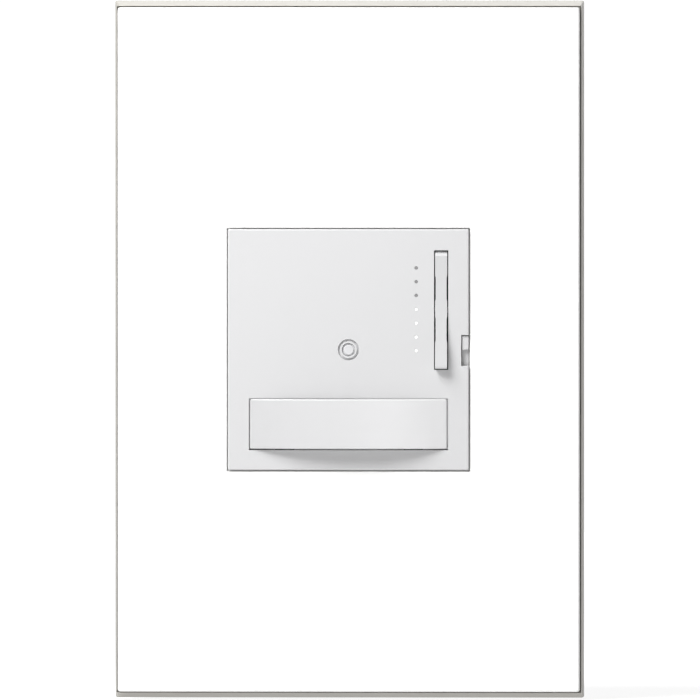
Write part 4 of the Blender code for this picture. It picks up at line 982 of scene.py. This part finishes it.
CLAMP_X = (19.8 * MM, 20.7 * MM)
QUARTER_TURN = math.pi / 2
slot_turns = {"line": 0.5, "load": 1.2, "traveller": 0.2}
clamp = add_box("clamp_pattern", (CLAMP_X[0], TERMINAL_Y - 4.25 * MM, -4.0 * MM),
                (CLAMP_X[1], TERMINAL_Y + 4.25 * MM, 4.0 * MM))
bevel_edges(clamp, 1.0 * MM, 5, lambda a, b: abs(a.y - b.y) < 1e-6 and abs(a.z - b.z) < 1e-6)
for offset in (-3.55, -3.05, 3.05, 3.55):
    boolean(clamp, add_box("ridge", (CLAMP_X[0] - MM, TERMINAL_Y - 3.2 * MM, (offset - 0.12) * MM),
                           (CLAMP_X[0] + 0.15 * MM, TERMINAL_Y + 3.2 * MM, (offset + 0.12) * MM)))
boolean(clamp, add_round("clamp_hole", 2.0 * MM, (CLAMP_X[0] - MM, TERMINAL_Y, 0.0),
                         (CLAMP_X[1] + MM, TERMINAL_Y, 0.0), "X", 32))
soften(clamp, 0.1 * MM, 2, 50.0)
wire_screw = machine_screw("wire_screw_pattern", (3.2 * MM, -22.6 * MM, -21.0 * MM),
                           (1.7 * MM, -16.4 * MM))
for name, (side, z) in terminal_places.items():
    plate_copy = place_copy(clamp, f"terminal_clamp_{name}", (0.0, 0.0, 0.0))
    screw_copy = place_copy(wire_screw, f"terminal_wire_screw_{name}", (0.0, 0.0, 0.0),
                            slot_turns[name])
    # the screw's head faces -Y as modelled; turn it to face out of the housing's side
    screw_copy.rotation_euler = (0.0, 0.0, QUARTER_TURN)
    screw_copy.location = (0.0, TERMINAL_Y, 0.0)
    settle(screw_copy)
    for copy in (plate_copy, screw_copy):
        if side < 0:
            # half a turn about a line along Y, which keeps the faces outwards
            copy.rotation_euler = (0.0, math.pi, 0.0)
        copy.location = (0.0, 0.0, z)
        settle(copy)
    hand_over(plate_copy, brass, "root", "brass", f"terminal_plate_{name}")
    hand_over(screw_copy, brass, "root", "brass", f"terminal_screw_{name}")
bpy.data.objects.remove(clamp)
bpy.data.objects.remove(wire_screw)

# ---------------------------------------------------------------------------
# Inside.  The deck, the boards and what is soldered to them, the switches and
# the contacts keep their own shapes, and each takes its finish here.
# ---------------------------------------------------------------------------
plain = {
    "steel": steel,
    "brass": brass,
    "copper": moulded("copper", (0.78, 0.42, 0.26), (0.68, 0.35, 0.20), 0.34, 0.2 * MM, 0.003 * MM,
                      Metallic=1.0),
    "deck_grey": moulded("deck_grey", (0.74, 0.74, 0.74), (0.71, 0.71, 0.71), 0.5, 0.3 * MM,
                         0.006 * MM),
    "board_green": moulded("board_green", (0.012, 0.085, 0.04), (0.010, 0.070, 0.034), 0.35,
                           0.5 * MM, 0.004 * MM),
    "chip_black": moulded("chip_black", (0.03, 0.03, 0.03), (0.022, 0.022, 0.022), 0.5, 0.2 * MM,
                          0.003 * MM),
    "led_yellow": moulded("led_yellow", (0.85, 0.80, 0.50), (0.80, 0.72, 0.42), 0.3, 0.2 * MM,
                          0.002 * MM),
    "capacitor_red": moulded("capacitor_red", (0.48, 0.10, 0.06), (0.42, 0.08, 0.05), 0.35,
                             0.5 * MM, 0.004 * MM),
    "capacitor_blue": moulded("capacitor_blue", (0.05, 0.09, 0.28), (0.04, 0.07, 0.22), 0.3,
                              0.5 * MM, 0.003 * MM),
    "pad_white": pad_white,
}
for entry in frame["record"]["subparts"]:
    node = frame["nodes"][entry["node"]]
    if not node.hide_render:
        node.data.materials.clear()
        node.data.materials.append(plain[entry["material_slot"]])
